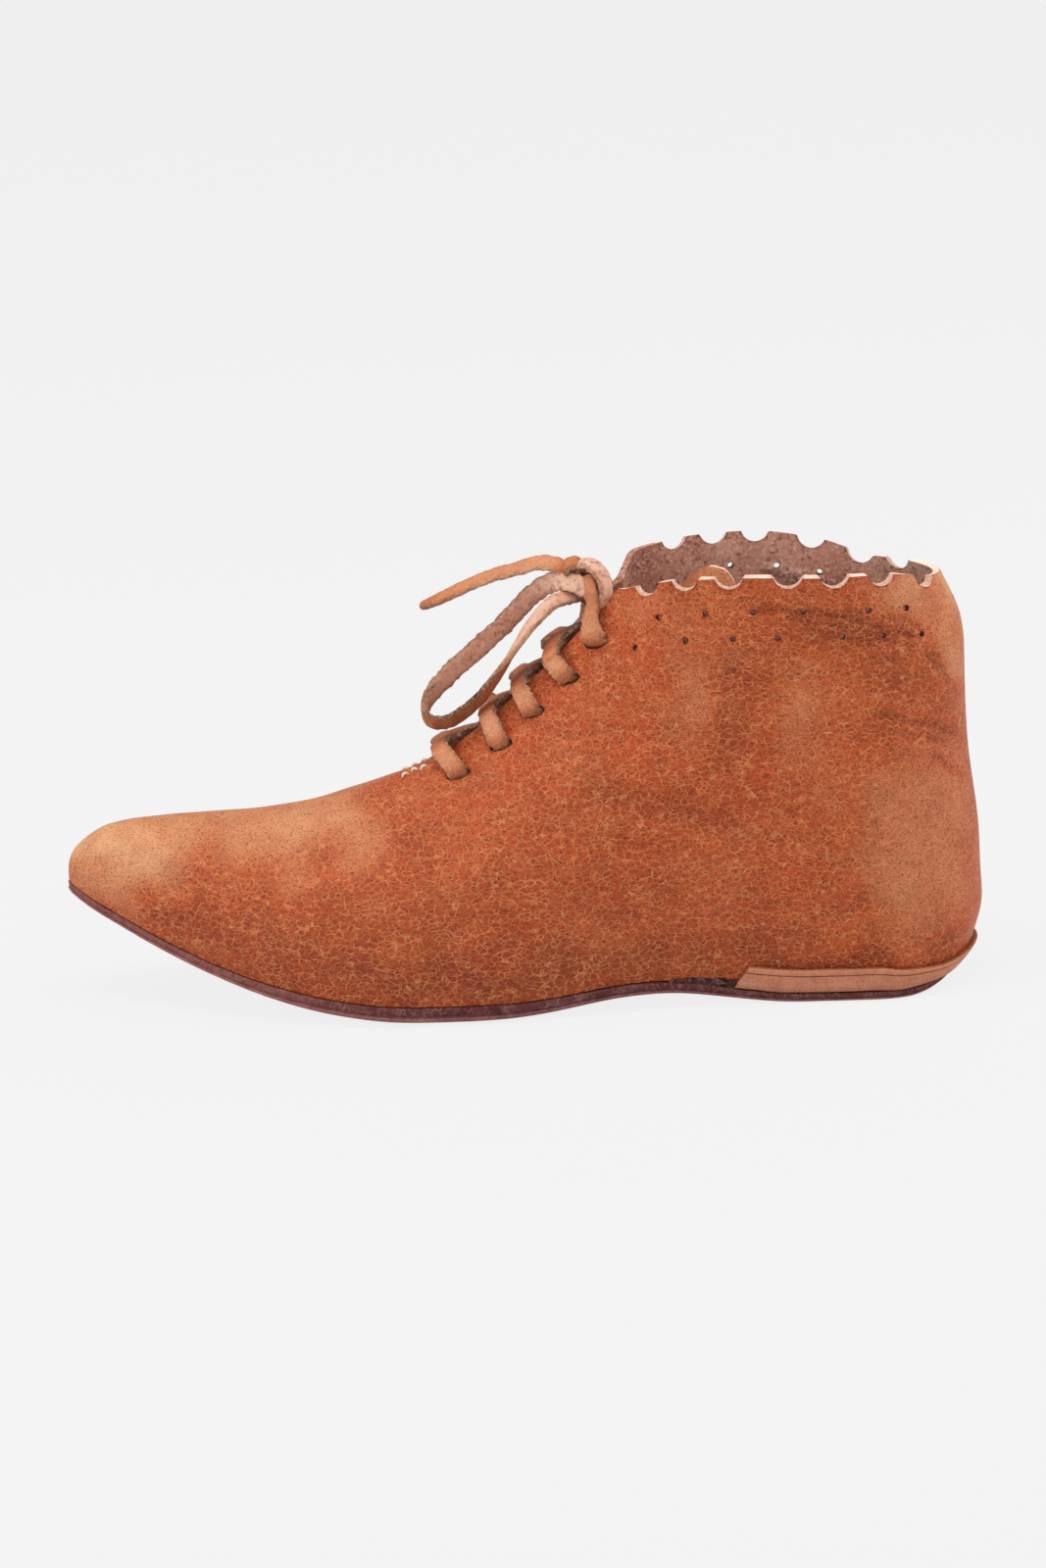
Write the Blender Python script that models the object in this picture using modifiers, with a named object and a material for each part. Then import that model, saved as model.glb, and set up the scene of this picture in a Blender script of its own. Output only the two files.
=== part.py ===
"""Ankle-high medieval leather shoe: a left turnshoe with a laced throat, scalloped collar and heel band.

Sizes are written in millimetres and turned into Blender's metres by MM. A station is a distance along the
shoe from the back of the upper's lower edge towards the toe. X points to the heel, -Y is the outer (lateral)
side and Z is up. The shoe stands on z = 0 with heel and forefoot.
"""

import math
from collections import namedtuple

import bmesh
import bpy
from mathutils import Matrix, Vector

MM = 0.001
MERGE = 1e-6

# Driving dimensions
LENGTH = 291.0
HEEL_BULGE = 3.5
FEATHER_LENGTH = LENGTH - HEEL_BULGE
WALL = 2.2
GAP = 0.3
HEEL_ROUND = 34.0
HEEL_WAVES = ((0.12, 0.075, 1.5), (0.51, 0.165, -2.3), (0.855, 0.125, 2.8))
TOE_ROUND = 12.0
NOSE_ROUND = 9.5

# Sole bottom: raised heel edge, arch between heel and ball, toe spring as a long arc
HEEL_SPRING = 4.5
HEEL_FLAT_START = 26.0
ARCH_START = 54.0
ARCH_END = 150.0
ARCH_RISE = 4.2
TOE_SPRING_START = 172.0
TOE_SPRING_RADIUS = 203.0

# Collar opening, an ellipse in plan that stays open at the front
COLLAR_BACK = 9.5
COLLAR_MID = 59.5
COLLAR_FRONT = 109.5
COLLAR_HALF_WIDTH = 31.0
COLLAR_FRONT_REACH = 52.0
SLIT_END = 175.5

# Scalloped rim: stations of its bites, cut by hand and so not quite even
SCALLOPS_LATERAL = (101.0, 88.0, 73.0, 53.0, 37.0, 21.0, 6.0)
SCALLOPS_MEDIAL = (90.5, 76.0, 61.0, 41.0, 24.0, 11.0)
SCALLOP_RADIUS = 6.0
SCALLOP_DEPTH = 2.9

# Lacing
LACE_WIDTH = 7.0
LACE_THICK = 2.4
LACE_OVERLAP = 1.0
LACE_EDGE_LIFT = 1.2
LACE_HOLE_LONG = 8.0
LACE_HOLE_SHORT = 4.0

# Heel band, insole and tongue
BAND_HEIGHT = 7.8
BAND_BACK_HEIGHT = 5.4
BAND_BACK_REACH = 40.0
BAND_THICK = 2.4
BAND_END = 72.0
BAND_SKIVE = 5.0
INSOLE_THICK = 2.0
INSOLE_INSET = WALL + 0.7
TONGUE_THICK = 1.8
TONGUE_ROUND = 0.2

LATERAL = -1
MEDIAL = 1

# Lower edge of the upper in plan: centre line, then half-widths to each side of it
Outline = namedtuple("Outline", "station centre lateral medial")
OUTLINE = [
    Outline(0.0, 0.0, 29.5, 29.0),
    Outline(32.0, 0.0, 29.8, 29.2),
    Outline(57.0, 0.0, 29.6, 28.6),
    Outline(89.0, 0.0, 30.4, 26.4),
    Outline(112.0, 0.0, 34.6, 27.8),
    Outline(137.0, 0.0, 40.4, 34.4),
    Outline(162.0, 0.0, 44.6, 41.2),
    Outline(182.0, 0.3, 44.8, 43.8),
    Outline(202.0, 1.0, 42.2, 42.2),
    Outline(222.0, 2.0, 36.4, 36.4),
    Outline(242.0, 3.2, 28.0, 27.4),
    Outline(259.0, 4.2, 19.8, 19.0),
    Outline(273.0, 4.8, 12.6, 12.2),
    Outline(FEATHER_LENGTH, 5.0, 7.0, 7.0),
]

# Outsole: how far its edge stands out from the upper, its thickness and how far its edge curls up
Sole = namedtuple("Sole", "station margin thick lift")
SOLE = [
    Sole(0.0, GAP + BAND_THICK, 2.8, 0.1),
    Sole(60.0, GAP + BAND_THICK, 2.8, 0.1),
    Sole(85.0, 2.5, 3.2, 0.3),
    Sole(120.0, 1.2, 3.8, 0.8),
    Sole(165.0, 0.8, 4.8, 1.0),
    Sole(200.0, 0.8, 4.6, 1.0),
    Sole(245.0, 0.5, 3.6, 1.0),
    Sole(FEATHER_LENGTH, 0.2, 3.2, 1.0),
]

# Side of the outsole from top to bottom: a leather layer, a groove and a thin bottom layer
SoleSide = namedtuple("SoleSide", "height inset")
SOLE_SIDE = [
    SoleSide(1.0, 0.3),
    SoleSide(0.85, 0.0),
    SoleSide(0.45, 0.0),
    SoleSide(0.38, 0.5),
    SoleSide(0.31, 0.0),
    SoleSide(0.1, 0.1),
    SoleSide(0.0, 0.7),
]
SOLE_ACROSS = (0.68, 0.34, 0.0, -0.34, -0.68)

# Height of the collar rim on each side
Topline = namedtuple("Topline", "station lateral medial")
TOPLINE = [
    Topline(COLLAR_BACK, 131.8, 131.8),
    Topline(26.0, 134.0, 131.4),
    Topline(46.0, 135.4, 136.4),
    Topline(70.0, 135.8, 139.2),
    Topline(90.0, 134.8, 138.8),
    Topline(105.0, 131.6, 137.6),
    Topline(COLLAR_FRONT, 130.0, 130.0),
]

# Edges of the lacing slit, then the ridge of the vamp down to the toe
Throat = namedtuple("Throat", "station lateral medial gap")
THROAT = [
    Throat(COLLAR_FRONT, 130.0, 130.0, 8.5),
    Throat(125.5, 112.8, 113.6, 6.4),
    Throat(145.5, 93.4, 93.8, 4.6),
    Throat(163.5, 79.2, 79.2, 2.8),
    Throat(SLIT_END, 72.4, 72.4, 0.0),
    Throat(191.5, 66.2, 66.2, 0.0),
    Throat(207.5, 61.8, 61.8, 0.0),
    Throat(222.5, 59.4, 59.4, 0.0),
    Throat(238.5, 58.2, 58.2, 0.0),
    Throat(253.5, 57.4, 57.4, 0.0),
    Throat(264.5, 56.4, 56.4, 0.0),
    Throat(274.5, 54.4, 54.4, 0.0),
    Throat(FEATHER_LENGTH, 51.0, 51.0, 0.0),
]

# Pairs of lace holes from the toe end up, and how far below the slit's edge they lie
LaceHole = namedtuple("LaceHole", "station setback")
LACE_HOLES = [
    LaceHole(161.5, 14.0),
    LaceHole(148.0, 13.5),
    LaceHole(137.5, 11.5),
    LaceHole(126.5, 11.0),
    LaceHole(117.5, 10.0),
]

# Section curve of the upper: angles above and below the horizontal at its ends, and its handles as shares
Shape = namedtuple("Shape", "station foot_angle foot_handle top_angle top_handle")
SHAPE = [
    Shape(0.0, 77.6, 0.30, 71.0, 0.28),
    Shape(17.0, 78.5, 0.33, 83.0, 0.33),
    Shape(47.0, 79.0, 0.36, 94.0, 0.36),
    Shape(77.0, 81.0, 0.36, 90.0, 0.36),
    Shape(COLLAR_FRONT, 84.0, 0.38, 70.0, 0.36),
    Shape(136.0, 84.0, 0.40, 50.0, 0.34),
    Shape(160.0, 82.0, 0.42, 30.0, 0.33),
    Shape(176.0, 80.0, 0.43, 10.0, 0.33),
    Shape(188.0, 79.0, 0.43, 0.0, 0.34),
    Shape(236.0, 74.0, 0.44, 0.0, 0.36),
    Shape(264.0, 70.0, 0.45, 0.0, 0.38),
    Shape(FEATHER_LENGTH, 70.0, 0.45, 0.0, 0.40),
]

# Tongue from its seam under the vamp up into the collar: middle line, half-width and how far its edges drop
Tongue = namedtuple("Tongue", "station height half drop")
TONGUE = [
    Tongue(184.5, 63.5, 10.0, 2.4),
    Tongue(166.5, 72.2, 14.0, 6.4),
    Tongue(146.5, 85.2, 15.0, 10.0),
    Tongue(126.5, 100.6, 14.0, 12.0),
    Tongue(106.5, 117.0, 14.0, 9.0),
    Tongue(92.5, 129.0, 15.0, 7.0),
    Tongue(84.0, 134.4, 14.0, 6.0),
    Tongue(76.0, 132.0, 13.0, 5.0),
]

# Knot of the bow, a lump at the top of the slit
KNOT_STATION = 119.5
KNOT_HEIGHT = 131.0
KNOT_HALF = Vector((8.5, 8.0, 7.5))
KNOT_RUN_STATION = 121.0
KNOT_RUN_ACROSS = 6.4
KNOT_RUN_HEIGHT = 124.2

# Loop and free end of the bow, from the knot: middle line, and the lean of the strap's width to +Y
Route = namedtuple("Route", "station across height lean")
LOOP = [
    Route(127.0, 3.8, 128.6, -5.0),
    Route(134.8, 6.0, 125.2, -8.0),
    Route(148.0, 7.6, 113.2, -8.0),
    Route(163.8, 6.0, 100.2, -8.0),
    Route(170.2, 3.0, 94.2, -10.0),
    Route(171.8, -1.4, 90.2, -15.0),
    Route(168.0, -5.2, 89.0, -25.0),
    Route(161.0, -7.4, 92.4, -32.0),
    Route(152.0, -8.4, 99.2, -40.0),
    Route(144.6, -7.8, 107.4, -70.0),
    Route(137.4, -6.2, 115.6, -100.0),
    Route(128.6, -4.0, 124.4, -110.0),
]
FREE_END = [
    Route(126.6, 3.6, 134.8, -70.0),
    Route(133.0, 4.5, 136.6, -65.0),
    Route(141.5, 6.0, 134.8, -60.0),
    Route(149.8, 7.0, 131.8, -55.0),
    Route(158.2, 8.0, 127.6, -50.0),
    Route(165.5, 9.0, 123.6, -50.0),
    Route(172.3, 10.0, 120.4, -50.0),
]
FREE_END_TAPER = 0.45
INSTEP_NORMAL = Vector((-0.66, 0, 0.75))


# Curves and tables


def along(rows, column, station):
    """The table's column at a station, on a smooth curve through the rows that never overshoots them."""
    spots = [row.station for row in rows]
    values = [getattr(row, column) for row in rows]
    steps = [(b - a) / (t - s) for s, t, a, b in zip(spots, spots[1:], values, values[1:])]
    slopes = [steps[0]]
    for before, after in zip(steps, steps[1:]):
        slopes.append(2 * before * after / (before + after) if before * after > 0 else 0.0)
    slopes.append(steps[-1])
    station = min(max(station, spots[0]), spots[-1])
    i = max(k for k in range(len(spots) - 1) if spots[k] <= station)
    span = spots[i + 1] - spots[i]
    t = (station - spots[i]) / span
    low = values[i] * (1 + 2 * t) + slopes[i] * span * t
    high = values[i + 1] * (3 - 2 * t) - slopes[i + 1] * span * (1 - t)
    return low * (1 - t) ** 2 + high * t**2


def bezier(points, t):
    a, b, c, d = points
    return a * (1 - t) ** 3 + b * 3 * t * (1 - t) ** 2 + c * 3 * t**2 * (1 - t) + d * t**3


def quarter_round(distance, radius):
    """1 inside the round, falling to 0 along a quarter circle as the distance reaches the radius."""
    return math.sqrt(max(0.0, 1 - (max(0.0, distance) / radius) ** 2))


def spot(station, across, height):
    """A point of the shoe, in millimetres."""
    return Vector((LENGTH / 2 - HEEL_BULGE - station, across, height))


def side_name(side):
    return "lateral" if side == LATERAL else "medial"


# The last: plan outline, sole line and the upper's section curves


def plan_point(station, side):
    half = along(OUTLINE, side_name(side), station)
    half *= quarter_round(HEEL_ROUND - station, HEEL_ROUND)
    half *= quarter_round(station - (FEATHER_LENGTH - TOE_ROUND), TOE_ROUND)
    return spot(station, along(OUTLINE, "centre", station) + side * half, 0)


def plan_normal(station, side):
    """Direction straight out of the outline in plan."""
    step = 0.02
    before = plan_point(max(0.0, station - step), side)
    after = plan_point(min(FEATHER_LENGTH, station + step), side)
    run = after - before
    if station < step:
        return Vector((1, 0, 0))
    if station > FEATHER_LENGTH - step:
        return Vector((-1, 0, 0))
    return Vector((run.y * side, -run.x * side, 0)).normalized()


def outline_point(station, side, margin):
    return plan_point(station, side) + plan_normal(station, side) * margin


def tread(station):
    """Height of the sole's bottom along its middle."""
    if station < HEEL_FLAT_START:
        return HEEL_SPRING * (1 - station / HEEL_FLAT_START) ** 2
    if ARCH_START < station < ARCH_END:
        turn = 2 * math.pi * (station - ARCH_START) / (ARCH_END - ARCH_START)
        return ARCH_RISE * (1 - math.cos(turn)) / 2
    return max(0.0, station - TOE_SPRING_START) ** 2 / (2 * TOE_SPRING_RADIUS)


def sole_height(station, share, level):
    """Height in the outsole: share is 0 at its middle and 1 at its edge, level 0 at its bottom and 1 at its top."""
    curl = along(SOLE, "lift", station) * abs(share) ** 4
    return tread(station) + curl + along(SOLE, "thick", station) * level


def feather_point(station, side):
    point = plan_point(station, side)
    point.z = sole_height(station, 1, 1) + GAP
    return point


def top_point(station, side):
    """The collar rim, the edge of the slit or the ridge of the vamp above a station."""
    if station <= COLLAR_FRONT:
        share = station / COLLAR_FRONT
        top_station = COLLAR_BACK + share * (COLLAR_FRONT - COLLAR_BACK)
        reach = top_station - COLLAR_MID
        limit = COLLAR_FRONT_REACH if reach > 0 else COLLAR_MID - COLLAR_BACK
        across = side * COLLAR_HALF_WIDTH * quarter_round(abs(reach), limit)
        return spot(top_station, across, along(TOPLINE, side_name(side), top_station))
    foot = feather_point(station, side).z
    height = along(THROAT, side_name(side), station) - foot
    height *= quarter_round(station - (FEATHER_LENGTH - NOSE_ROUND), NOSE_ROUND)
    across = along(OUTLINE, "centre", station) + side * along(THROAT, "gap", station)
    return spot(station, across, foot + height)


def section(station, side):
    """Control points of the upper's outer section curve, from its lower edge to its top."""
    foot, top = feather_point(station, side), top_point(station, side)
    out = plan_normal(station, side) if station < HEEL_ROUND else Vector((0, side, 0))
    chord = (top - foot).length
    foot_angle = math.radians(along(SHAPE, "foot_angle", station))
    top_angle = math.radians(along(SHAPE, "top_angle", station))
    rise = out * math.cos(foot_angle) + Vector((0, 0, math.sin(foot_angle)))
    fall = out * math.cos(top_angle) - Vector((0, 0, math.sin(top_angle)))
    return (
        foot,
        foot + rise * chord * along(SHAPE, "foot_handle", station),
        top + fall * chord * along(SHAPE, "top_handle", station),
        top,
    )


def upper_point(station, side, t):
    """The upper's outer surface, with the heel's bulge, hollow and padded top at the back."""
    point = bezier(section(station, side), t)
    if station < HEEL_ROUND:
        reach = sum(out * math.exp(-(((t - at) / spread) ** 2)) for at, spread, out in HEEL_WAVES)
        point += plan_normal(station, side) * reach * (1 - station / HEEL_ROUND)
    return point


def upper_normal(station, side, t):
    """Outward normal of the upper's outer surface."""
    step = 0.01
    low, high = max(0.0, t - step), min(1.0, t + step)
    up = upper_point(station, side, high) - upper_point(station, side, low)
    ahead = upper_point(station + 0.5, side, t) - upper_point(station - 0.5, side, t)
    return ahead.cross(up).normalized() * side


def share_below_edge(station, side, distance):
    """The section curve's t at a distance down from its top, along the curve."""
    steps = 200
    walked, last = 0.0, upper_point(station, side, 1)
    for i in range(1, steps):
        point = upper_point(station, side, 1 - i / steps)
        walked += (point - last).length
        last = point
        if walked >= distance:
            return 1 - i / steps
    return 0.0


def share_at_height(station, side, height):
    """The section curve's t at a height above the curve's lower end."""
    low, high = 0.0, 1.0
    start = feather_point(station, side).z
    for _ in range(20):
        middle = (low + high) / 2
        if upper_point(station, side, middle).z - start < height:
            low = middle
        else:
            high = middle
    return low


# Blender objects


def material(name, colour, roughness):
    made = bpy.data.materials.new(name)
    made.use_nodes = True
    shader = made.node_tree.nodes["Principled BSDF"]
    shader.inputs["Base Color"].default_value = (*colour, 1)
    shader.inputs["Roughness"].default_value = roughness
    shader.inputs["Metallic"].default_value = 0.0
    return made


def new_object(name, bm, collection, finish=None):
    mesh = bpy.data.meshes.new(name)
    bm.to_mesh(mesh)
    bm.free()
    mesh.shade_smooth()
    obj = bpy.data.objects.new(name, mesh)
    collection.objects.link(obj)
    if finish:
        mesh.materials.append(finish)
    return obj


def sheet(columns, rows, place, close=False):
    """A grid whose corners are moved to place(column, row), in millimetres, with meeting corners merged."""
    bm = bmesh.new()
    bmesh.ops.create_grid(bm, x_segments=columns, y_segments=rows, size=0.5)
    for vertex in bm.verts:
        column = round((vertex.co.x + 0.5) * columns)
        row = round((vertex.co.y + 0.5) * rows)
        vertex.co = place(column, row) * MM
    bmesh.ops.remove_doubles(bm, verts=bm.verts, dist=MERGE)
    if close:
        bmesh.ops.holes_fill(bm, edges=[e for e in bm.edges if e.is_boundary], sides=0)
    bmesh.ops.recalc_face_normals(bm, faces=bm.faces)
    return bm


def face_up(bm):
    """Turns an open sheet so that most of it faces up."""
    if sum(face.normal.z * face.calc_area() for face in bm.faces) < 0:
        bmesh.ops.reverse_faces(bm, faces=bm.faces)
    return bm


def thicken(obj, thickness, offset):
    solidify = obj.modifiers.new("Thickness", "SOLIDIFY")
    solidify.thickness = thickness * MM
    solidify.offset = offset
    solidify.use_even_offset = True


def cut(obj, cutter, operation="DIFFERENCE"):
    cutter.hide_render = True
    cutter.display_type = "WIRE"
    boolean = obj.modifiers.new(cutter.name, "BOOLEAN")
    boolean.object = cutter
    boolean.operation = operation


# Stations along the shoe, closer together at its round ends


def spread_stations(start, end, count, ends):
    """Stations from start to end, bunched like a cosine at the named end or ends."""
    stations = []
    for i in range(count + 1):
        t = i / count
        if ends == "start":
            t = 1 - math.cos(t * math.pi / 2)
        elif ends == "end":
            t = math.sin(t * math.pi / 2)
        elif ends == "both":
            t = (1 - math.cos(t * math.pi)) / 2
        stations.append(start + (end - start) * t)
    return stations


def upper_stations():
    """From the back seam past the collar's corner and the end of the slit to the toe."""
    collar = spread_stations(0, COLLAR_FRONT, 15, "start")
    slit = spread_stations(COLLAR_FRONT, SLIT_END, 9, "even")
    vamp = spread_stations(SLIT_END, FEATHER_LENGTH, 15, "end")
    return collar + slit[1:] + vamp[1:]


def round_trip(stations):
    """Stations out along the lateral side and back along the medial side."""
    there = [(station, LATERAL) for station in stations]
    return there + [(station, MEDIAL) for station in reversed(stations[:-1])]


# Pieces of the shoe


def make_upper(parts, cutters):
    rows = 12
    path = round_trip(upper_stations())
    bm = face_up(sheet(len(path) - 1, rows, lambda c, r: upper_point(*path[c], r / rows)))
    upper = new_object("upper", bm, parts, material("tan_leather", (0.40, 0.13, 0.045), 0.6))
    thicken(upper, WALL, -1)
    cut(upper, scallop_cutter(cutters))
    cut(upper, lace_hole_cutter(cutters))
    return upper


def scallop_cutter(cutters):
    """Round bites out of the collar rim on both sides."""
    bm = bmesh.new()
    for side, stations in ((LATERAL, SCALLOPS_LATERAL), (MEDIAL, SCALLOPS_MEDIAL)):
        for station in stations:
            run = (top_point(station + 0.5, side) - top_point(station - 0.5, side)).normalized()
            out = Vector((run.y, -run.x, 0)).normalized()
            up = out.cross(run).normalized()
            up *= 1 if up.z > 0 else -1
            centre = top_point(station, side) + up * (SCALLOP_RADIUS - SCALLOP_DEPTH)
            add_drum(bm, centre, out, run, SCALLOP_RADIUS, SCALLOP_RADIUS, 16.0, 18)
    return new_object("scallop_cutter", bm, cutters)


def add_drum(bm, centre, axis, across, radius, other_radius, depth, segments):
    """A closed cylinder along axis, with one radius in the direction across and another at right angles to it."""
    other = axis.cross(across).normalized()
    turn = Matrix((across, other, axis)).transposed().to_4x4()
    scale = Matrix.Diagonal((radius * MM, other_radius * MM, depth * MM, 1))
    place = Matrix.Translation(centre * MM) @ turn @ scale
    bmesh.ops.create_cone(
        bm, cap_ends=True, segments=segments, radius1=1, radius2=1, depth=1, matrix=place
    )


def lace_hole_cutter(cutters):
    """Oval slots for the lace, set back from the slit's edges, long along the shoe."""
    bm = bmesh.new()
    for side in (LATERAL, MEDIAL):
        for hole in LACE_HOLES:
            share = share_below_edge(hole.station, side, hole.setback)
            normal = upper_normal(hole.station, side, share)
            along_shoe = (Vector((1, 0, 0)) - normal * normal.x).normalized()
            centre = upper_point(hole.station, side, share)
            add_drum(
                bm, centre, normal, along_shoe, LACE_HOLE_LONG / 2, LACE_HOLE_SHORT / 2, 8.0, 14
            )
    return new_object("lace_hole_cutter", bm, cutters)


def make_outsole(parts):
    """Rings round the sole's section: across the top, down one side, back under the bottom and up the other."""
    path = spread_stations(0, FEATHER_LENGTH, 40, "both")

    def ring_point(station, row):
        def edge(side, step):
            inset = along(SOLE, "margin", station) - step.inset
            point = outline_point(station, side, inset)
            point.z = sole_height(station, 1, step.height)
            return point

        def middle(share, level):
            step = SOLE_SIDE[0] if level else SOLE_SIDE[-1]
            near, far = edge(LATERAL, step), edge(MEDIAL, step)
            point = near.lerp(far, (share + 1) / 2)
            point.z = sole_height(station, share, level)
            return point

        ring = [middle(-share, 1) for share in SOLE_ACROSS]
        ring += [edge(MEDIAL, step) for step in SOLE_SIDE]
        ring += [middle(share, 0) for share in SOLE_ACROSS]
        ring += [edge(LATERAL, step) for step in reversed(SOLE_SIDE)]
        return ring[row % len(ring)]

    ring_size = 2 * (len(SOLE_ACROSS) + len(SOLE_SIDE))
    bm = sheet(len(path) - 1, ring_size, lambda c, r: ring_point(path[c], r))
    return new_object("outsole", bm, parts, material("dark_sole_leather", (0.06, 0.022, 0.022), 0.55))


def make_insole(parts):
    path = spread_stations(0, FEATHER_LENGTH, 30, "both")
    across = 8

    def place(column, row):
        station, share = path[column], 2 * row / across - 1
        near = outline_point(station, LATERAL, -INSOLE_INSET)
        far = outline_point(station, MEDIAL, -INSOLE_INSET)
        point = near.lerp(far, (share + 1) / 2)
        point.z = sole_height(station, share, 1) + GAP
        return point

    bm = face_up(sheet(len(path) - 1, across, place))
    insole = new_object("insole", bm, parts, material("insole_leather", (0.30, 0.15, 0.08), 0.8))
    thicken(insole, INSOLE_THICK, 1)
    return insole


def make_heel_band(parts):
    """A strip round the heel that hugs the upper's lower edge, with slanting ends."""
    columns = 44
    corners = [(0.0, 0.0), (0.0, 1.0), (0.86, 1.0), (1.0, 0.8), (1.0, 0.0)]

    def place(column, row):
        height, depth = corners[row % len(corners)]
        turn = 2 * column / columns - 1
        end = BAND_END + BAND_SKIVE * (1 - height)
        station = end * (1 - math.cos(turn * math.pi / 2))
        side = LATERAL if turn < 0 else MEDIAL
        taper = min(1.0, station / BAND_BACK_REACH)
        full = BAND_BACK_HEIGHT + (BAND_HEIGHT - BAND_BACK_HEIGHT) * taper
        share = share_at_height(station, side, full * height)
        inner = upper_point(station, side, share)
        return inner + plan_normal(station, side) * (GAP + BAND_THICK * depth)

    bm = sheet(columns, len(corners), place, close=True)
    return new_object("heel_band", bm, parts, material("tan_band_leather", (0.42, 0.19, 0.09), 0.6))


def make_tongue(parts):
    columns, across = 22, 8
    first, last = TONGUE[0].station, TONGUE[-1].station
    rows = TONGUE[::-1]

    def middle(share):
        station = first + (last - first) * share
        return spot(station, along(OUTLINE, "centre", station), along(rows, "height", station))

    def place(column, row):
        share, side = column / columns, 2 * row / across - 1
        station = first + (last - first) * share
        run = middle(min(1, share + 0.01)) - middle(max(0, share - 0.01))
        normal = run.normalized().cross(Vector((0, 1, 0)))
        half = along(rows, "half", station)
        half *= 0.25 + 0.75 * quarter_round(share - (1 - TONGUE_ROUND), TONGUE_ROUND)
        drop = along(rows, "drop", station) * (side * half / along(rows, "half", station)) ** 2
        return middle(share) + Vector((0, side * half, 0)) - normal * drop

    bm = face_up(sheet(columns, across, place))
    tongue = new_object("tongue", bm, parts, material("tongue_leather", (0.36, 0.13, 0.05), 0.6))
    thicken(tongue, TONGUE_THICK, 0)
    return tongue


# Lace


def ribbon(name, route, collection, finish=None):
    """A flat strap through route's (middle, half-width vector) pairs."""
    bm = sheet(len(route) - 1, 1, lambda c, r: route[c][0] + route[c][1] * (2 * r - 1))
    strap = new_object(name, bm, collection, finish)
    thicken(strap, LACE_THICK, 0)
    return strap


def strap_route(points, normals):
    """Half-width vectors that keep a strap flat on what it crosses."""
    route = []
    for i, (point, normal) in enumerate(zip(points, normals)):
        run = points[min(i + 1, len(points) - 1)] - points[max(i - 1, 0)]
        route.append((point, run.cross(normal).normalized() * LACE_WIDTH / 2))
    return route


def flap_spot(station, side, distance, lift):
    """A point above the flap at a distance from the slit's edge, and the flap's normal there."""
    share = share_below_edge(station, side, distance) if distance else 1.0
    normal = upper_normal(station, side, share)
    return upper_point(station, side, share) + normal * (4 * GAP + LACE_THICK / 2 + lift), normal


def crossing_route(pair, side):
    """From a hole up over both edges of the slit to the next hole on the other side, the medial run on top."""
    start, end = LACE_HOLES[pair], LACE_HOLES[pair + 1]
    points, normals = [], []
    for share in (-1.0, -0.6, -0.2, 0.2, 0.6, 1.0):
        station = start.station + (end.station - start.station) * (share + 1) / 2
        distance = max(0.0, (abs(share) - 0.2) / 0.8) * (start if share < 0 else end).setback
        lift = LACE_EDGE_LIFT * (1 - abs(share)) + (LACE_OVERLAP if side == MEDIAL else 0.0)
        point, normal = flap_spot(station, side if share < 0 else -side, distance, lift)
        points.append(point)
        normals.append(normal)
    return strap_route(points, normals)


def knot_route(side):
    """From the top hole over the slit's edge to the underside of the knot."""
    hole = LACE_HOLES[-1]
    points, normals = [], []
    for share in (1.0, 0.55, 0.15):
        point, normal = flap_spot(hole.station, side, hole.setback * share, LACE_OVERLAP / 2)
        points.append(point)
        normals.append(normal)
    points.append(spot(KNOT_RUN_STATION, side * KNOT_RUN_ACROSS, KNOT_RUN_HEIGHT))
    normals.append((INSTEP_NORMAL + Vector((0, side, 0))).normalized())
    return strap_route(points, normals)


def make_lace_crossings(parts, cutters):
    """The crossings and the two top runs, joined into one solid."""
    finish = material("lace_leather", (0.42, 0.20, 0.10), 0.65)
    lattice = ribbon("lace_crossings", crossing_route(0, LATERAL), parts, finish)
    others = [(pair, side) for pair in range(len(LACE_HOLES) - 1) for side in (LATERAL, MEDIAL)][1:]
    for pair, side in others:
        name = f"lace_{side_name(side)}_{pair + 1}"
        cut(lattice, ribbon(name, crossing_route(pair, side), cutters), "UNION")
    for side in (LATERAL, MEDIAL):
        name = f"lace_{side_name(side)}_{len(LACE_HOLES)}"
        cut(lattice, ribbon(name, knot_route(side), cutters), "UNION")
    return lattice


def make_lace_knot(parts):
    bm = bmesh.new()
    centre = spot(KNOT_STATION, 0, KNOT_HEIGHT)
    place = Matrix.Translation(centre * MM) @ Matrix.Diagonal((*(KNOT_HALF * MM), 1))
    bmesh.ops.create_uvsphere(bm, u_segments=16, v_segments=10, radius=1, matrix=place)
    return new_object("lace_knot", bm, parts, material("lace_knot_leather", (0.45, 0.24, 0.13), 0.7))


def smooth_rows(rows, steps):
    """The rows with more between them, on a smooth curve through all of them."""
    finer = []
    for i in range(len(rows) - 1):
        a, b, c, d = (rows[min(max(k, 0), len(rows) - 1)] for k in range(i - 1, i + 3))
        for step in range(steps):
            t = step / steps
            weights = (
                -t / 2 + t**2 - t**3 / 2,
                1 - 2.5 * t**2 + 1.5 * t**3,
                t / 2 + 2 * t**2 - 1.5 * t**3,
                -(t**2) / 2 + t**3 / 2,
            )
            finer.append(Route(*(sum(w * v for w, v in zip(weights, column)) for column in zip(a, b, c, d))))
    return finer + [rows[-1]]


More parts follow.
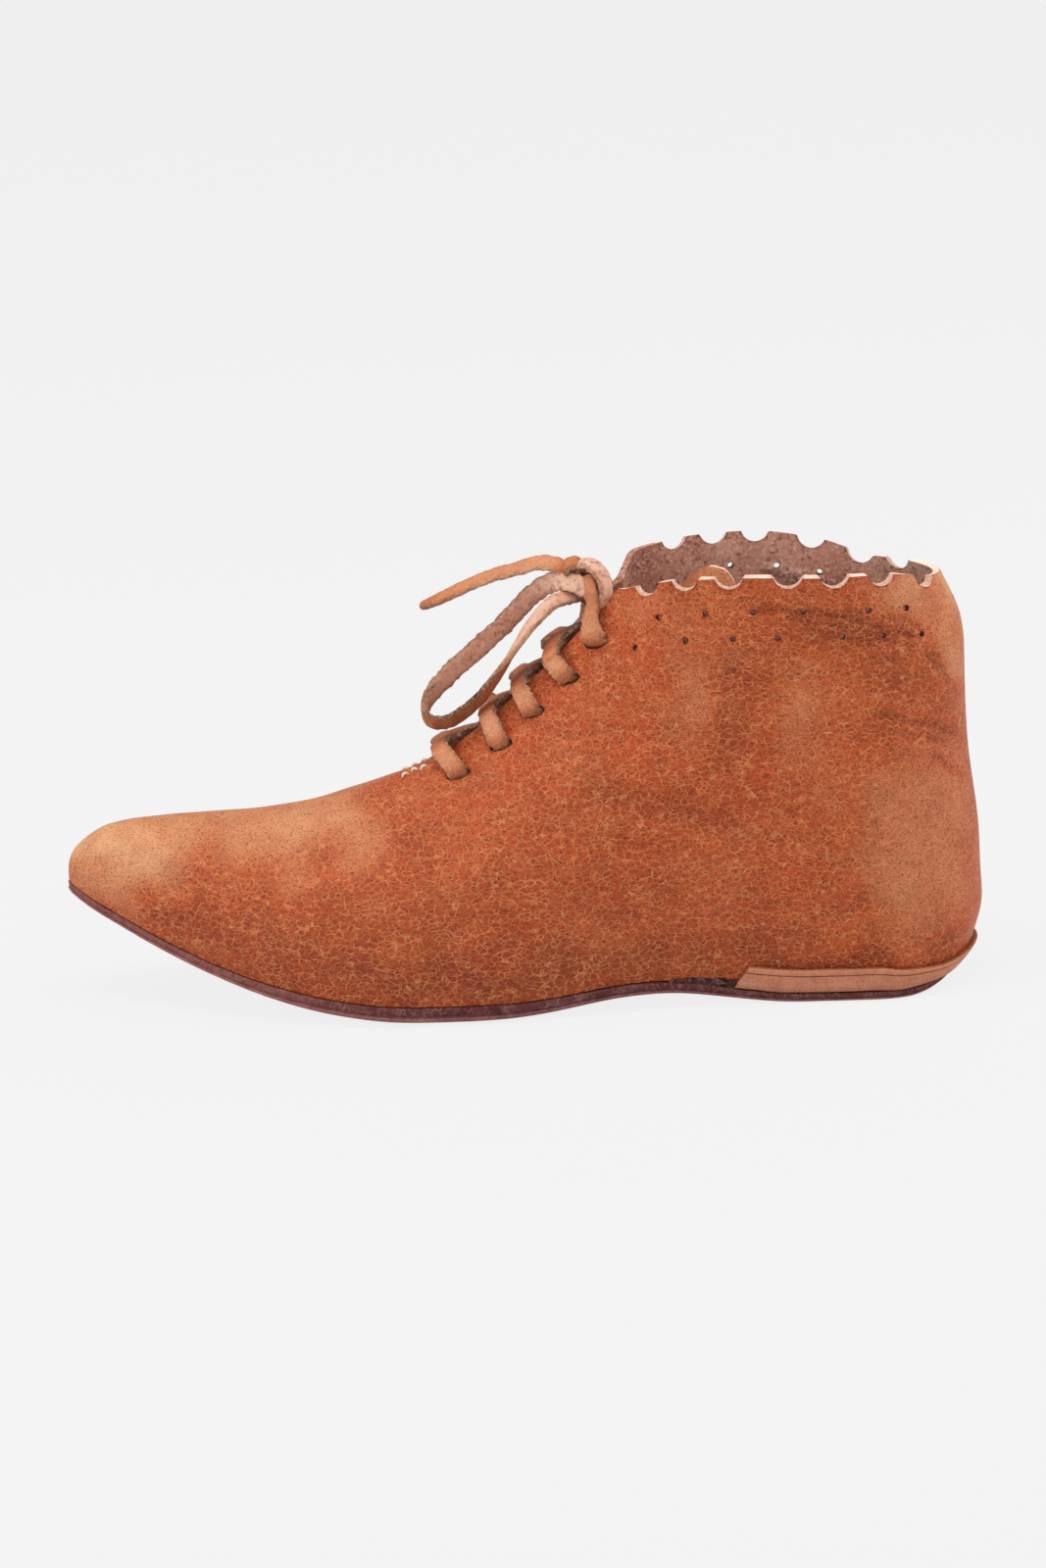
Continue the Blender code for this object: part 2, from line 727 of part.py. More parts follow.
def free_route(rows, taper=1.0):
    """A strap through the rows, its width leaning from the upright across its run towards +Y."""
    route = []
    rows = smooth_rows(rows, 3)
    points = [spot(row.station, row.across, row.height) for row in rows]
    for i, row in enumerate(rows):
        run = (points[min(i + 1, len(rows) - 1)] - points[max(i - 1, 0)]).normalized()
        upright = (INSTEP_NORMAL - run * INSTEP_NORMAL.dot(run)).normalized()
        sideways = run.cross(upright)
        sideways *= 1 if sideways.y > 0 else -1
        lean = math.radians(row.lean)
        share = i / (len(rows) - 1)
        half = LACE_WIDTH / 2 * (1 + (taper - 1) * share**3)
        route.append((points[i], (upright * math.cos(lean) + sideways * math.sin(lean)) * half))
    return route


def make_bow(parts):
    loop = ribbon("lace_loop", free_route(LOOP), parts, material("lace_loop_leather", (0.40, 0.2, 0.11), 0.7))
    end = ribbon(
        "lace_end", free_route(FREE_END, FREE_END_TAPER), parts, material("lace_end_leather", (0.5, 0.24, 0.11), 0.6)
    )
    return loop, end


def main():
    for obj in list(bpy.data.objects):
        bpy.data.objects.remove(obj)
    parts = bpy.data.collections.new("medieval_shoe")
    cutters = bpy.data.collections.new("cutters")
    for collection in (parts, cutters):
        bpy.context.scene.collection.children.link(collection)
    make_outsole(parts)
    make_insole(parts)
    make_upper(parts, cutters)
    make_heel_band(parts)
    make_tongue(parts)
    make_lace_crossings(parts, cutters)
    make_lace_knot(parts)
    make_bow(parts)


main()
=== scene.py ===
import math

import bpy
import numpy as np
from mathutils import Matrix, Vector


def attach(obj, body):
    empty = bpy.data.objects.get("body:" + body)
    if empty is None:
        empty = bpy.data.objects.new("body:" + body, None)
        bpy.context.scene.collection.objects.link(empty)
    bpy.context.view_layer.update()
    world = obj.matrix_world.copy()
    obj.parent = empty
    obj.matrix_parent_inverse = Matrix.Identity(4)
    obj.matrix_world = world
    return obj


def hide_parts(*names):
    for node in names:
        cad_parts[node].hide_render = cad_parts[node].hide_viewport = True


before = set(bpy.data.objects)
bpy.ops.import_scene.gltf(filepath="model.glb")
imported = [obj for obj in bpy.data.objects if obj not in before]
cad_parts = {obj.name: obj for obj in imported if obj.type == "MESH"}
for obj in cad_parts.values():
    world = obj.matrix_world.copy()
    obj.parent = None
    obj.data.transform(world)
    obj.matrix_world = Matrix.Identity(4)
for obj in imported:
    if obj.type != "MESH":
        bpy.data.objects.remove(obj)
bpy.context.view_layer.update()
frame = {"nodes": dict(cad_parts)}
bpy.ops.object.select_all(action="DESELECT")
mm = 0.001
print("frame loaded:", ", ".join(frame["nodes"]))

# camera and light, set to the photograph: 1067 x 1600 pixels, a long lens, rolled a little

cameraSettings = {
    "target": (0.0, 0.0, 60.0),  # mm, the point that lands on targetPixel
    "targetPixel": (532.4, 816.7),
    "imageSize": (1067, 1600),
    "pixelsPerMm": 3.21,
    "distance": 1700.0,
    "elevation": 15.0,
    "roll": 1.75,
    "sensorHeight": 36.0,
}


def addCamera(s):
    tilt, roll = math.radians(s["elevation"]), math.radians(s["roll"])
    right, up = Vector((1, 0, 0)), Vector((0, math.sin(tilt), math.cos(tilt)))
    ahead = Vector((0, math.cos(tilt), -math.sin(tilt)))
    rolledUp = up * math.cos(roll) + right * math.sin(roll)
    rolledRight = right * math.cos(roll) - up * math.sin(roll)
    width, height = s["imageSize"]
    offRight = (width / 2 - s["targetPixel"][0]) / s["pixelsPerMm"]
    offUp = (s["targetPixel"][1] - height / 2) / s["pixelsPerMm"]
    aim = Vector(s["target"]) + rolledRight * offRight + rolledUp * offUp
    turn = Matrix((rolledRight, rolledUp, -ahead)).transposed()
    bpy.ops.object.camera_add(location=(aim - ahead * s["distance"]) * mm, rotation=turn.to_euler())
    camera = bpy.context.object
    camera.name = "productCamera"
    camera.data.sensor_fit = "VERTICAL"
    camera.data.sensor_height = s["sensorHeight"]
    camera.data.lens = s["pixelsPerMm"] * s["distance"] * s["sensorHeight"] / height
    camera.data.clip_end = 50
    bpy.context.scene.camera = camera


addCamera(cameraSettings)


def hexColour(code):
    parts = [int(code[i : i + 2], 16) / 255 for i in (1, 3, 5)]
    return [c / 12.92 if c <= 0.04045 else ((c + 0.055) / 1.055) ** 2.4 for c in parts] + [1.0]


def addNode(tree, kind, sockets=None, output=0, **settings):
    # a socket gets a value or a link, a setting is the node's own, and one output is handed back
    node = tree.nodes.new("ShaderNode" + kind)
    for key, value in settings.items():
        setattr(node, key, value)
    for key, value in (sockets or {}).items():
        if isinstance(value, bpy.types.NodeSocket):
            tree.links.new(value, node.inputs[key])
        else:
            node.inputs[key].default_value = value
    return node.outputs[output] if node.outputs else None


def newMaterial(name):
    made = bpy.data.materials.new(name)
    made.use_nodes = True
    made.node_tree.nodes.clear()
    return made, made.node_tree


def addSurface(tree, sockets):
    shader = addNode(tree, "BsdfPrincipled", sockets)
    addNode(tree, "OutputMaterial", {"Surface": shader})


def layColours(tree, colour, s, layers):
    # the named colours over one another, each by its share
    for name, share in layers:
        sockets = {6: colour, 7: hexColour(s[name]), 0: share}
        colour = addNode(tree, "Mix", sockets, 2, data_type="RGBA")
    return colour


lightSettings = {
    "worldStrength": 0.38,
    "lights": [  # name, place, aim (m), size (m), power (W)
        ("overheadSoftbox", (-0.2, -0.25, 1.6), (0.0, 0.0, 0.05), 0.9, 13.8),
        ("leftSoftbox", (-1.4, -0.45, 0.8), (-0.08, 0.0, 0.05), 0.8, 9.5),
        ("rightSoftbox", (1.4, 0.1, 0.9), (0.1, 0.0, 0.08), 1.0, 12.5),
        ("frontFill", (0.1, -1.9, 0.6), (0.0, 0.0, 0.06), 1.2, 5.2),
    ],
    "floorColour": "#3E3E3E",
    "floorGlow": 0.832,
    "floorSize": 14.0,
}


def addStudio(s):
    world = bpy.data.worlds.new("studioWorld")
    bpy.context.scene.world = world
    world.use_nodes = True
    sky = world.node_tree.nodes["Background"].inputs
    sky["Color"].default_value = (1, 1, 1, 1)
    sky["Strength"].default_value = s["worldStrength"]
    for name, place, aim, size, power in s["lights"]:
        look = (Vector(aim) - Vector(place)).to_track_quat("-Z", "Y").to_euler()
        bpy.ops.object.light_add(type="AREA", location=place, rotation=look)
        lamp = bpy.context.object
        lamp.name = name
        lamp.data.size = size
        lamp.data.energy = power
    bpy.ops.mesh.primitive_plane_add(size=s["floorSize"], location=(0, 0, -0.0002))
    floor = bpy.context.object
    floor.name = "floor"
    # matt photo paper: partly its own glow, so the shadow on it stays faint
    paper, tree = newMaterial("mattPhotoPaper")
    glow = {"Emission Color": (1, 1, 1, 1), "Emission Strength": s["floorGlow"]}
    matt = {"Base Color": hexColour(s["floorColour"]), "Roughness": 0.9, "Specular IOR Level": 0.1}
    addSurface(tree, {**matt, **glow})
    floor.data.materials.append(paper)
    bpy.context.scene.view_settings.view_transform = "Standard"


addStudio(lightSettings)
print("camera, light and floor set")

# the last: all sizes in mm, station = distance from the back of the upper's lower edge towards the toe

lastForm = {
    "length": 291.0,
    "heelBulge": 3.5,
    "heelRound": 34.0,
    "toeRound": 12.0,
    "noseRound": 14.0,
    "noseFull": 0.56,  # 1 gives a round nose, less a fuller one
    # height share, spread, mm outwards
    "heelWaves": [(0.12, 0.075, 1.5), (0.51, 0.165, -2.3), (0.855, 0.125, 2.8)],
    "wall": 2.2,
    "gap": 0.3,
    "heelSpring": 7.8,
    "heelFlatStart": 27.0,
    "archStart": 54.0,
    "archEnd": 150.0,
    "archRise": 4.2,
    "toeSpringStart": 172.0,
    "toeSpringRadius": 203.0,
    "collarBack": 9.5,
    "collarMid": 59.5,
    "collarFront": 109.5,
    "collarHalfWidth": 31.0,
    "collarFrontReach": 52.0,
    "slitEnd": 175.5,
}
featherLength = lastForm["length"] - lastForm["heelBulge"]

outlineTable = {
    "station": (0, 32, 57, 89, 112, 137, 162, 182, 202, 222, 242, 259, 273, featherLength),
    "centre": (0, 0, 0, 0, 0, 0, 0, 0.3, 1, 2, 3.2, 4.2, 4.8, 5),
    "lateral": (29.5, 29.8, 29.6, 30.4, 34.6, 40.4, 44.6, 44.8, 42.2, 36.4, 28, 19.8, 12.6, 7),
    "medial": (29, 29.2, 28.6, 26.4, 27.8, 34.4, 41.2, 43.8, 42.2, 36.4, 27.4, 19, 12.2, 7),
}
soleTable = {
    "station": (0, 6, 22, 60, 85, 120, 165, 200, 245, featherLength),
    "margin": (-1.6, -0.8, 2.5, 2.7, 2.5, 1.2, 0.8, 0.8, 0.5, 0.2),
    "thick": (1.6, 1.7, 2.6, 2.8, 3.2, 3.8, 4.8, 4.6, 3.6, 3.2),
    "lift": (0.1, 0.1, 0.1, 0.1, 0.3, 0.8, 1, 1, 1, 1),
}
collarTable = {
    "station": (9.5, 26, 46, 70, 90, 105, 109.5),
    "lateral": (131.8, 135.8, 136.7, 137.4, 136.3, 132.4, 130),
    "medial": (131.8, 131.4, 136.4, 139.2, 138.8, 137.6, 130),
}
throatTable = {
    "station": (
        *(109.5, 125.5, 145.5, 163.5, 175.5, 191.5, 207.5, 222.5, 238.5, 253.5, 264.5, 274.5),
        featherLength,
    ),
    "lateral": (130, 112.8, 93.4, 79.2, 72.4, 66.2, 61.8, 59.4, 58.2, 57.4, 56.4, 54.4, 51),
    "medial": (130, 113.6, 93.8, 79.2, 72.4, 66.2, 61.8, 59.4, 58.2, 57.4, 56.4, 54.4, 51),
    "gap": (8.5, 6.4, 4.6, 2.8, 0, 0, 0, 0, 0, 0, 0, 0, 0),
}
sectionTable = {
    "station": (0, 17, 47, 77, 109.5, 136, 160, 176, 188, 236, 264, featherLength),
    "footAngle": (77.6, 78.5, 79, 81, 84, 84, 82, 80, 79, 74, 70, 70),
    "footHandle": (0.30, 0.33, 0.36, 0.36, 0.38, 0.40, 0.42, 0.43, 0.43, 0.44, 0.45, 0.45),
    "topAngle": (71, 83, 94, 90, 70, 50, 30, 10, 0, 0, 0, 0),
    "topHandle": (0.28, 0.33, 0.36, 0.36, 0.36, 0.34, 0.33, 0.33, 0.34, 0.36, 0.38, 0.40),
}
lateral, medial = -1, 1
sideNames = {lateral: "lateral", medial: "medial"}


def along(table, column, station):
    x, y = np.array(table["station"], float), np.array(table[column], float)
    step = np.diff(y) / np.diff(x)
    both = step[:-1] * step[1:]
    slope = np.zeros_like(y)
    slope[0], slope[-1] = step[0], step[-1]
    rising = both > 0
    slope[1:-1][rising] = 2 * both[rising] / (step[:-1] + step[1:])[rising]
    station = np.clip(np.asarray(station, float), x[0], x[-1])
    i = np.clip(np.searchsorted(x, station, "right") - 1, 0, len(x) - 2)
    span = x[i + 1] - x[i]
    t = (station - x[i]) / span
    low = y[i] * (1 + 2 * t) + slope[i] * span * t
    high = y[i + 1] * (3 - 2 * t) - slope[i + 1] * span * (1 - t)
    return low * (1 - t) ** 2 + high * t**2


def quarterRound(distance, radius):
    return np.sqrt(np.maximum(0.0, 1 - (np.maximum(0.0, distance) / radius) ** 2))


def unit(vectors):
    size = np.linalg.norm(vectors, axis=-1, keepdims=True)
    return vectors / np.maximum(size, 1e-9)


def spot(station, across, height):
    station, across, height = np.broadcast_arrays(station, across, height)
    x = lastForm["length"] / 2 - lastForm["heelBulge"] - station
    return np.stack([x, across, height], -1).astype(float)


def planPoint(station, side):
    half = along(outlineTable, sideNames[side], station)
    half = half * quarterRound(lastForm["heelRound"] - station, lastForm["heelRound"])
    half = half * quarterRound(station - (featherLength - lastForm["toeRound"]), lastForm["toeRound"])
    return spot(station, along(outlineTable, "centre", station) + side * half, 0.0)


def planNormal(station, side):
    station = np.asarray(station, float)
    run = planPoint(np.minimum(featherLength, station + 0.02), side)
    run = run - planPoint(np.maximum(0.0, station - 0.02), side)
    out = np.stack([run[..., 1] * side, -run[..., 0] * side, 0 * run[..., 0]], -1)
    out[station < 0.02] = (1, 0, 0)
    out[station > featherLength - 0.02] = (-1, 0, 0)
    return unit(out)


def treadHeight(station):
    f = lastForm
    heel = f["heelSpring"] * np.maximum(0, 1 - station / f["heelFlatStart"]) ** 2
    turn = np.clip((station - f["archStart"]) / (f["archEnd"] - f["archStart"]), 0, 1)
    arch = f["archRise"] * (1 - np.cos(2 * np.pi * turn)) / 2
    toe = np.maximum(0, station - f["toeSpringStart"]) ** 2 / (2 * f["toeSpringRadius"])
    return heel + arch + toe


def soleHeight(station, share, level):
    curl = along(soleTable, "lift", station) * np.abs(share) ** 4
    return treadHeight(station) + curl + along(soleTable, "thick", station) * level


def featherPoint(station, side):
    point = planPoint(station, side)
    point[..., 2] = soleHeight(station, 1, 1) + lastForm["gap"]
    return point


def topPoint(station, side):
    f = lastForm
    station = np.asarray(station, float)
    topStation = f["collarBack"] + station / f["collarFront"] * (f["collarFront"] - f["collarBack"])
    reach = topStation - f["collarMid"]
    limit = np.where(reach > 0, f["collarFrontReach"], f["collarMid"] - f["collarBack"])
    rimAcross = side * f["collarHalfWidth"] * quarterRound(np.abs(reach), limit)
    rim = spot(topStation, rimAcross, along(collarTable, sideNames[side], topStation))
    foot = featherPoint(station, side)[..., 2]
    rise = along(throatTable, sideNames[side], station) - foot
    rise = rise * quarterRound(station - (featherLength - f["noseRound"]), f["noseRound"]) ** f["noseFull"]
    across = along(outlineTable, "centre", station) + side * along(throatTable, "gap", station)
    throat = spot(station, across, foot + rise)
    return np.where((station <= f["collarFront"])[..., None], rim, throat)


def upperPoint(station, side, t):
    # outer surface of the upper: a section curve at each station, from the sole up to the rim or ridge
    station, t = np.broadcast_arrays(np.asarray(station, float), np.asarray(t, float))
    foot, top = featherPoint(station, side), topPoint(station, side)
    out = planNormal(station, side)
    atHeel = station < lastForm["heelRound"]
    out = np.where(atHeel[..., None], out, np.array([0.0, side, 0.0]))
    chord = np.linalg.norm(top - foot, axis=-1)[..., None]
    up = np.array([0.0, 0.0, 1.0])

    def handle(end, way):
        angle = np.radians(along(sectionTable, end + "Angle", station))[..., None]
        reach = along(sectionTable, end + "Handle", station)[..., None]
        return (out * np.cos(angle) + up * way * np.sin(angle)) * chord * reach

    low, high = foot + handle("foot", 1), top + handle("top", -1)
    s = t[..., None]
    point = foot * (1 - s) ** 3 + low * 3 * s * (1 - s) ** 2 + high * 3 * s**2 * (1 - s) + top * s**3
    bulge = sum(most * np.exp(-(((t - at) / spread) ** 2)) for at, spread, most in lastForm["heelWaves"])
    fade = np.maximum(0, 1 - station / lastForm["heelRound"])
    return point + planNormal(station, side) * (bulge * fade)[..., None]


def upperNormal(station, side, t):
    up = upperPoint(station, side, min(1.0, t + 0.01)) - upperPoint(station, side, max(0.0, t - 0.01))
    ahead = upperPoint(station + 0.5, side, t) - upperPoint(station - 0.5, side, t)
    return unit(np.cross(ahead, up)) * side


def shareBelowEdge(station, side, distance):
    t = np.linspace(1, 0, 401)
    walk = upperPoint(np.full(401, station), side, t)
    length = np.concatenate([[0], np.cumsum(np.linalg.norm(np.diff(walk, axis=0), axis=1))])
    return float(np.interp(distance, length, t))


def shareAtHeight(station, side, height):
    t = np.linspace(0, 1, 401)
    rise = upperPoint(np.full(401, station), side, t)[:, 2] - featherPoint(station, side)[2]
    return float(np.interp(height, rise[:200], t[:200]))


def flapSpot(station, side, distance, lift):
    # a place on the upper that far below its edge, and the way out of the leather there
    share = shareBelowEdge(station, side, distance) if distance > 0 else 1.0
    out = upperNormal(station, side, share)
    return upperPoint(station, side, share) + out * lift, out


def spreadStations(start, end, count, ends):
    # closer together at the named ends
    t = np.linspace(0, 1, count + 1)
    quarter = t * np.pi / 2
    bends = {"start": 1 - np.cos(quarter), "end": np.sin(quarter), "both": (1 - np.cos(t * np.pi)) / 2}
    return start + (end - start) * bends.get(ends, t)


def waves(points, size, seed):
    # smooth seeded unevenness, about -1 to 1, with bumps of roughly that size in mm
    draw = np.random.default_rng(seed)
    total = np.zeros(points.shape[:-1])
    for _ in range(7):
        way = unit(draw.normal(size=3)) * 2 * np.pi / (size * draw.uniform(0.7, 1.6))
        total += np.sin(points @ way + draw.uniform(0, 2 * np.pi))
    return total / 3.2


def bumps(points, kind):
    size, depth, seed = kind
    return waves(points, size, seed) * depth


# building blocks: a grid primitive whose corners go to given points, in mm


def pick(piece):
    bpy.ops.object.select_all(action="DESELECT")
    bpy.context.view_layer.objects.active = piece
    piece.select_set(True)


def nameIt(piece, name):
    piece.name = piece.data.name = name
    return piece


def corners(piece):
    return np.array([v.co for v in piece.data.vertices])


def moveCorners(piece, places):
    piece.data.vertices.foreach_set("co", (places * mm).ravel())
    piece.data.update()


def dress(piece, *materials):
    for material in materials:
        piece.data.materials.append(material)


def paintRows(piece, kinds, columns):
    # one material number for each row of faces in a grid
    piece.data.polygons.foreach_set("material_index", np.repeat(kinds, columns).astype(np.int32))


def closePiece(piece, capEnds=True):
    pick(piece)
    bpy.ops.object.mode_set(mode="EDIT")
    bpy.ops.mesh.select_all(action="SELECT")
    bpy.ops.mesh.remove_doubles(threshold=2e-6)
    if capEnds:
        bpy.ops.mesh.select_all(action="DESELECT")
        bpy.ops.mesh.select_non_manifold(use_wire=False, use_multi_face=False, use_non_contiguous=False)
        bpy.ops.mesh.fill_holes(sides=0)
        bpy.ops.mesh.select_all(action="SELECT")
    bpy.ops.mesh.normals_make_consistent(inside=False)
    bpy.ops.object.mode_set(mode="OBJECT")


def gridPiece(name, points, tone=None, merge=True, capEnds=False):
    rows, columns = points.shape[0] - 1, points.shape[1] - 1
    bpy.ops.object.select_all(action="DESELECT")
    bpy.ops.mesh.primitive_grid_add(x_subdivisions=columns, y_subdivisions=rows, size=1)
    piece = nameIt(bpy.context.object, name)
    flat = corners(piece)
    column = np.rint((flat[:, 0] + 0.5) * columns).astype(int)
    row = np.rint((flat[:, 1] + 0.5) * rows).astype(int)
    moveCorners(piece, points[row, column])
    shade = piece.data.attributes.new("tone", "FLOAT", "POINT")
    tone = np.full(points.shape[:2], 0.5) if tone is None else tone
    shade.data.foreach_set("value", tone[row, column].astype(np.float32))
    if merge:
        closePiece(piece, capEnds)
    return piece


def applyModifiers(piece):
    pick(piece)
    for modifier in list(piece.modifiers):
        bpy.ops.object.modifier_apply(modifier=modifier.name)


def addWall(piece, thickness, offset, even, *materials):
    # outside, inside and rim each get their own material
    if sum(p.normal.z * p.area for p in piece.data.polygons) < 0:
        piece.data.flip_normals()
    dress(piece, *materials)
    solidify = piece.modifiers.new("wall", "SOLIDIFY")
    solidify.thickness = thickness * mm
    solidify.offset = offset
    solidify.use_even_offset = even
    solidify.material_offset = 1
    solidify.material_offset_rim = 2
    applyModifiers(piece)


def smoothShade(piece, angle):
    pick(piece)
    bpy.ops.object.shade_smooth_by_angle(angle=math.radians(angle))


def joinPieces(pieces, name):
    pick(pieces[0])
    for piece in pieces:
        piece.select_set(True)
    bpy.ops.object.join()
    return nameIt(bpy.context.object, name)


def drum(centre, axis, across, radii, depth, segments, material):
    # a cylinder primitive turned along axis and stretched, used to punch leather
    axis, across = Vector(axis).normalized(), Vector(across)
    across = (across - axis * across.dot(axis)).normalized()
    turn = Matrix((across, axis.cross(across), axis)).transposed().to_euler()
    place = Vector(centre) * mm
    bpy.ops.mesh.primitive_cylinder_add(vertices=segments, radius=1, depth=1, location=place, rotation=turn)
    made = bpy.context.object
    made.scale = [size * mm for size in (*radii, depth)]
    bpy.ops.object.transform_apply(location=True, rotation=True, scale=True)
    dress(made, material)
    return made


def punch(piece, cutters):
    tool = joinPieces(cutters, "punchTool")
    boolean = piece.modifiers.new("punch", "BOOLEAN")
    boolean.solver = "EXACT"
    boolean.operation = "DIFFERENCE"
    boolean.material_mode = "TRANSFER"
    boolean.object = tool
    applyModifiers(piece)
    bpy.data.objects.remove(tool)


# materials


def addNoise(tree, place, sizeMm, detail, low, high, top=1.0, roughness=0.5, bottom=0.0):
    # soft noise with features of that size, stretched so that low gives bottom and high gives top
    sockets = {"Vector": place, "Scale": 1 / (sizeMm * mm), "Detail": detail, "Roughness": roughness}
    noise = addNode(tree, "TexNoise", sockets, "Fac")
    spread = {"Value": noise, "From Min": low, "From Max": high, "To Min": bottom, "To Max": top}
    return addNode(tree, "MapRange", spread), noise


def addTone(tree, colour, place, s):
    # listed lighter and darker places, kept on the mesh as 0 dark, 0.5 plain, 1 light, and mottled
    # the tones are mostly painted light and painted shade (lit tops, edges and strap middles, shade in
    # creases, holes, grooves, under flaps and in the knot), partly the leather's own lighter and darker
    # patches
    tone = addNode(tree, "Attribute", None, "Fac", attribute_name="tone")
    uneven = addNoise(tree, place, s["mottleMm"], 5.0, 0.3, 0.7, top=1.15, bottom=0.72)[0]
    shares = []
    for end in (1.0, 0.0):
        plain = addNode(tree, "MapRange", {"Value": tone, "From Min": 0.5, "From Max": end})
        shares.append(addNode(tree, "Math", {0: plain, 1: uneven}, operation="MULTIPLY", use_clamp=True))
    return layColours(tree, colour, s, zip(("lightTone", "darkTone"), shares)), shares[0]


def addVeins(tree, place, s):
    # lines between warped cells, broken up so that they come and go
    bent = place
    for size, reach in s["warps"]:
        sockets = {"Vector": place, "Scale": 1 / (size * mm), "Detail": 2.0}
        warp = addNode(tree, "TexNoise", sockets, "Color")
        shift = addNode(tree, "VectorMath", {0: warp, 1: (0.5, 0.5, 0.5)}, operation="SUBTRACT")
        push = addNode(tree, "VectorMath", {0: shift, "Scale": reach * mm}, operation="SCALE")
        bent = addNode(tree, "VectorMath", {0: bent, 1: push}, operation="ADD")
    veins = None
    for cell, width, strength, apart, breakMm, low, high in s["cells"]:
        sockets = {"Vector": bent, "Location": (apart, apart, apart), "Scale": s["stretch"]}
        moved = addNode(tree, "Mapping", sockets)
        sockets = {"Vector": moved, "Scale": 1 / (cell * mm)}
        cracks = addNode(tree, "TexVoronoi", sockets, "Distance", feature="DISTANCE_TO_EDGE")
        spread = {"Value": cracks, "From Max": width / cell, "To Min": strength, "To Max": 0.0}
        line = addNode(tree, "MapRange", spread, interpolation_type="SMOOTHSTEP")
        broken = addNoise(tree, moved, breakMm, 3.0, low, high)[0]
        vein = addNode(tree, "Math", {0: line, 1: broken}, operation="MULTIPLY")
        both = {0: veins, 1: vein}
        veins = vein if veins is None else addNode(tree, "Math", both, operation="MAXIMUM")
    return veins


def addLeatherGrain(name, s):
    # waxed full-grain leather: crackled pale veins where the wax broke, darker pores, soft low gloss
    made, tree = newMaterial(name)
    place = addNode(tree, "TexCoord", None, "Object")
    grainwise = addNode(tree, "Mapping", {"Vector": place, "Scale": s["stretch"]})
    veins = addVeins(tree, place, s)
    cloud = addNoise(tree, place, s["cloudMm"], 4.0, 0.35, 0.65)[0]
    blots = addNoise(tree, grainwise, s["blotMm"], 6.0, 0.45, 0.7, s["blotShare"], 0.62)[0]
    pale = addNoise(tree, grainwise, s["paleMm"], 6.0, 0.5, 0.72, s["paleShare"], 0.65)[0]
    pores, poreHeight = addNoise(tree, grainwise, s["poreMm"], 3.0, 0.48, 0.64, s["poreShare"], 0.65)
    layers = [("second", cloud), ("dark", blots), ("pale", pale)]
    colour, lighter = addTone(tree, layColours(tree, hexColour(s["base"]), s, layers), place, s)
    fade = addNode(tree, "MapRange", {"Value": lighter, "To Min": 1.0, "To Max": s["paleLeft"]})
    sunk = addNode(tree, "Math", {0: pores, 1: fade}, operation="MULTIPLY")
    seen = addNode(tree, "Math", {0: veins, 1: fade}, operation="MULTIPLY")
    rough = {"Value": seen, "To Min": s["roughness"], "To Max": s["roughness"] + s["veinRough"]}
    relief = addNode(tree, "Math", {0: seen, 1: s["veinSunk"], 2: poreHeight}, operation="MULTIPLY_ADD")
    bump = {"Height": relief, "Strength": s["bump"], "Distance": s["bumpMm"] * mm}
    sockets = {
        "Base Color": layColours(tree, colour, s, [("pore", sunk), ("vein", seen)]),
        "Roughness": addNode(tree, "MapRange", rough),
        "Specular IOR Level": s["specular"],
        "Normal": addNode(tree, "Bump", bump),
    }
    addSurface(tree, sockets)
    return made


def addSuede(name, s):
    # flesh side of leather: brushed fibre nap, matt, with pale fibre flecks and a faint sheen
    made, tree = newMaterial(name)
    place = addNode(tree, "TexCoord", None, "Object")
    cloud = addNoise(tree, place, s["cloudMm"], 4.0, 0.35, 0.65)[0]
    fleck, nap = addNoise(tree, place, s["fibreMm"], 6.0, 0.5, 0.68, s["fleckShare"], 0.75)
    deep = addNoise(tree, place, s["fibreMm"] * 1.7, 5.0, 0.5, 0.3, s["deepShare"], 0.7)[0]
    colour = layColours(tree, hexColour(s["base"]), s, [("second", cloud)])
    colour = addTone(tree, colour, place, s)[0]
    bump = {"Height": nap, "Strength": s["bump"], "Distance": s["bumpMm"] * mm}
    sockets = {
        "Base Color": layColours(tree, colour, s, [("dark", deep), ("fleck", fleck)]),
        "Roughness": s["roughness"],
        "Specular IOR Level": s["specular"],
        "Sheen Weight": s["sheen"],
        "Sheen Roughness": s["sheenRough"],
        "Normal": addNode(tree, "Bump", bump),
    }
    addSurface(tree, sockets)
    return made


upperGrainSettings = {
    "base": "#BA491C", "second": "#C05627", "dark": "#963E18", "pale": "#CB7244", "pore": "#602209",
    "vein": "#E99960", "lightTone": "#DEA173", "darkTone": "#802C0A",
    "blotShare": 0.65, "paleShare": 0.55, "poreShare": 0.9,
    "cells": [  # cell and line in mm, strength, shift in m, then the breaks: size in mm, low and high
        (2.0, 0.22, 0.58, 0.0, 2.2, 0.36, 0.6),
        (3.3, 0.22, 0.56, 0.13, 2.6, 0.44, 0.64),
    ],
    "stretch": (0.78, 0.78, 1.25),
    "warps": [(3.5, 1.8), (0.9, 0.3)],  # size and reach in mm
    "cloudMm": 30.0, "blotMm": 9.0, "paleMm": 14.0, "mottleMm": 7.0, "poreMm": 0.55, "roughness": 0.48,
    "specular": 0.24, "bump": 0.8, "bumpMm": 0.4,
    "paleLeft": 0.5,  # share of pores and veins that is left where the tone is light, painted highlights included
    "veinRough": 0.2,  # veins are rougher and sunk
    "veinSunk": -0.8,
}
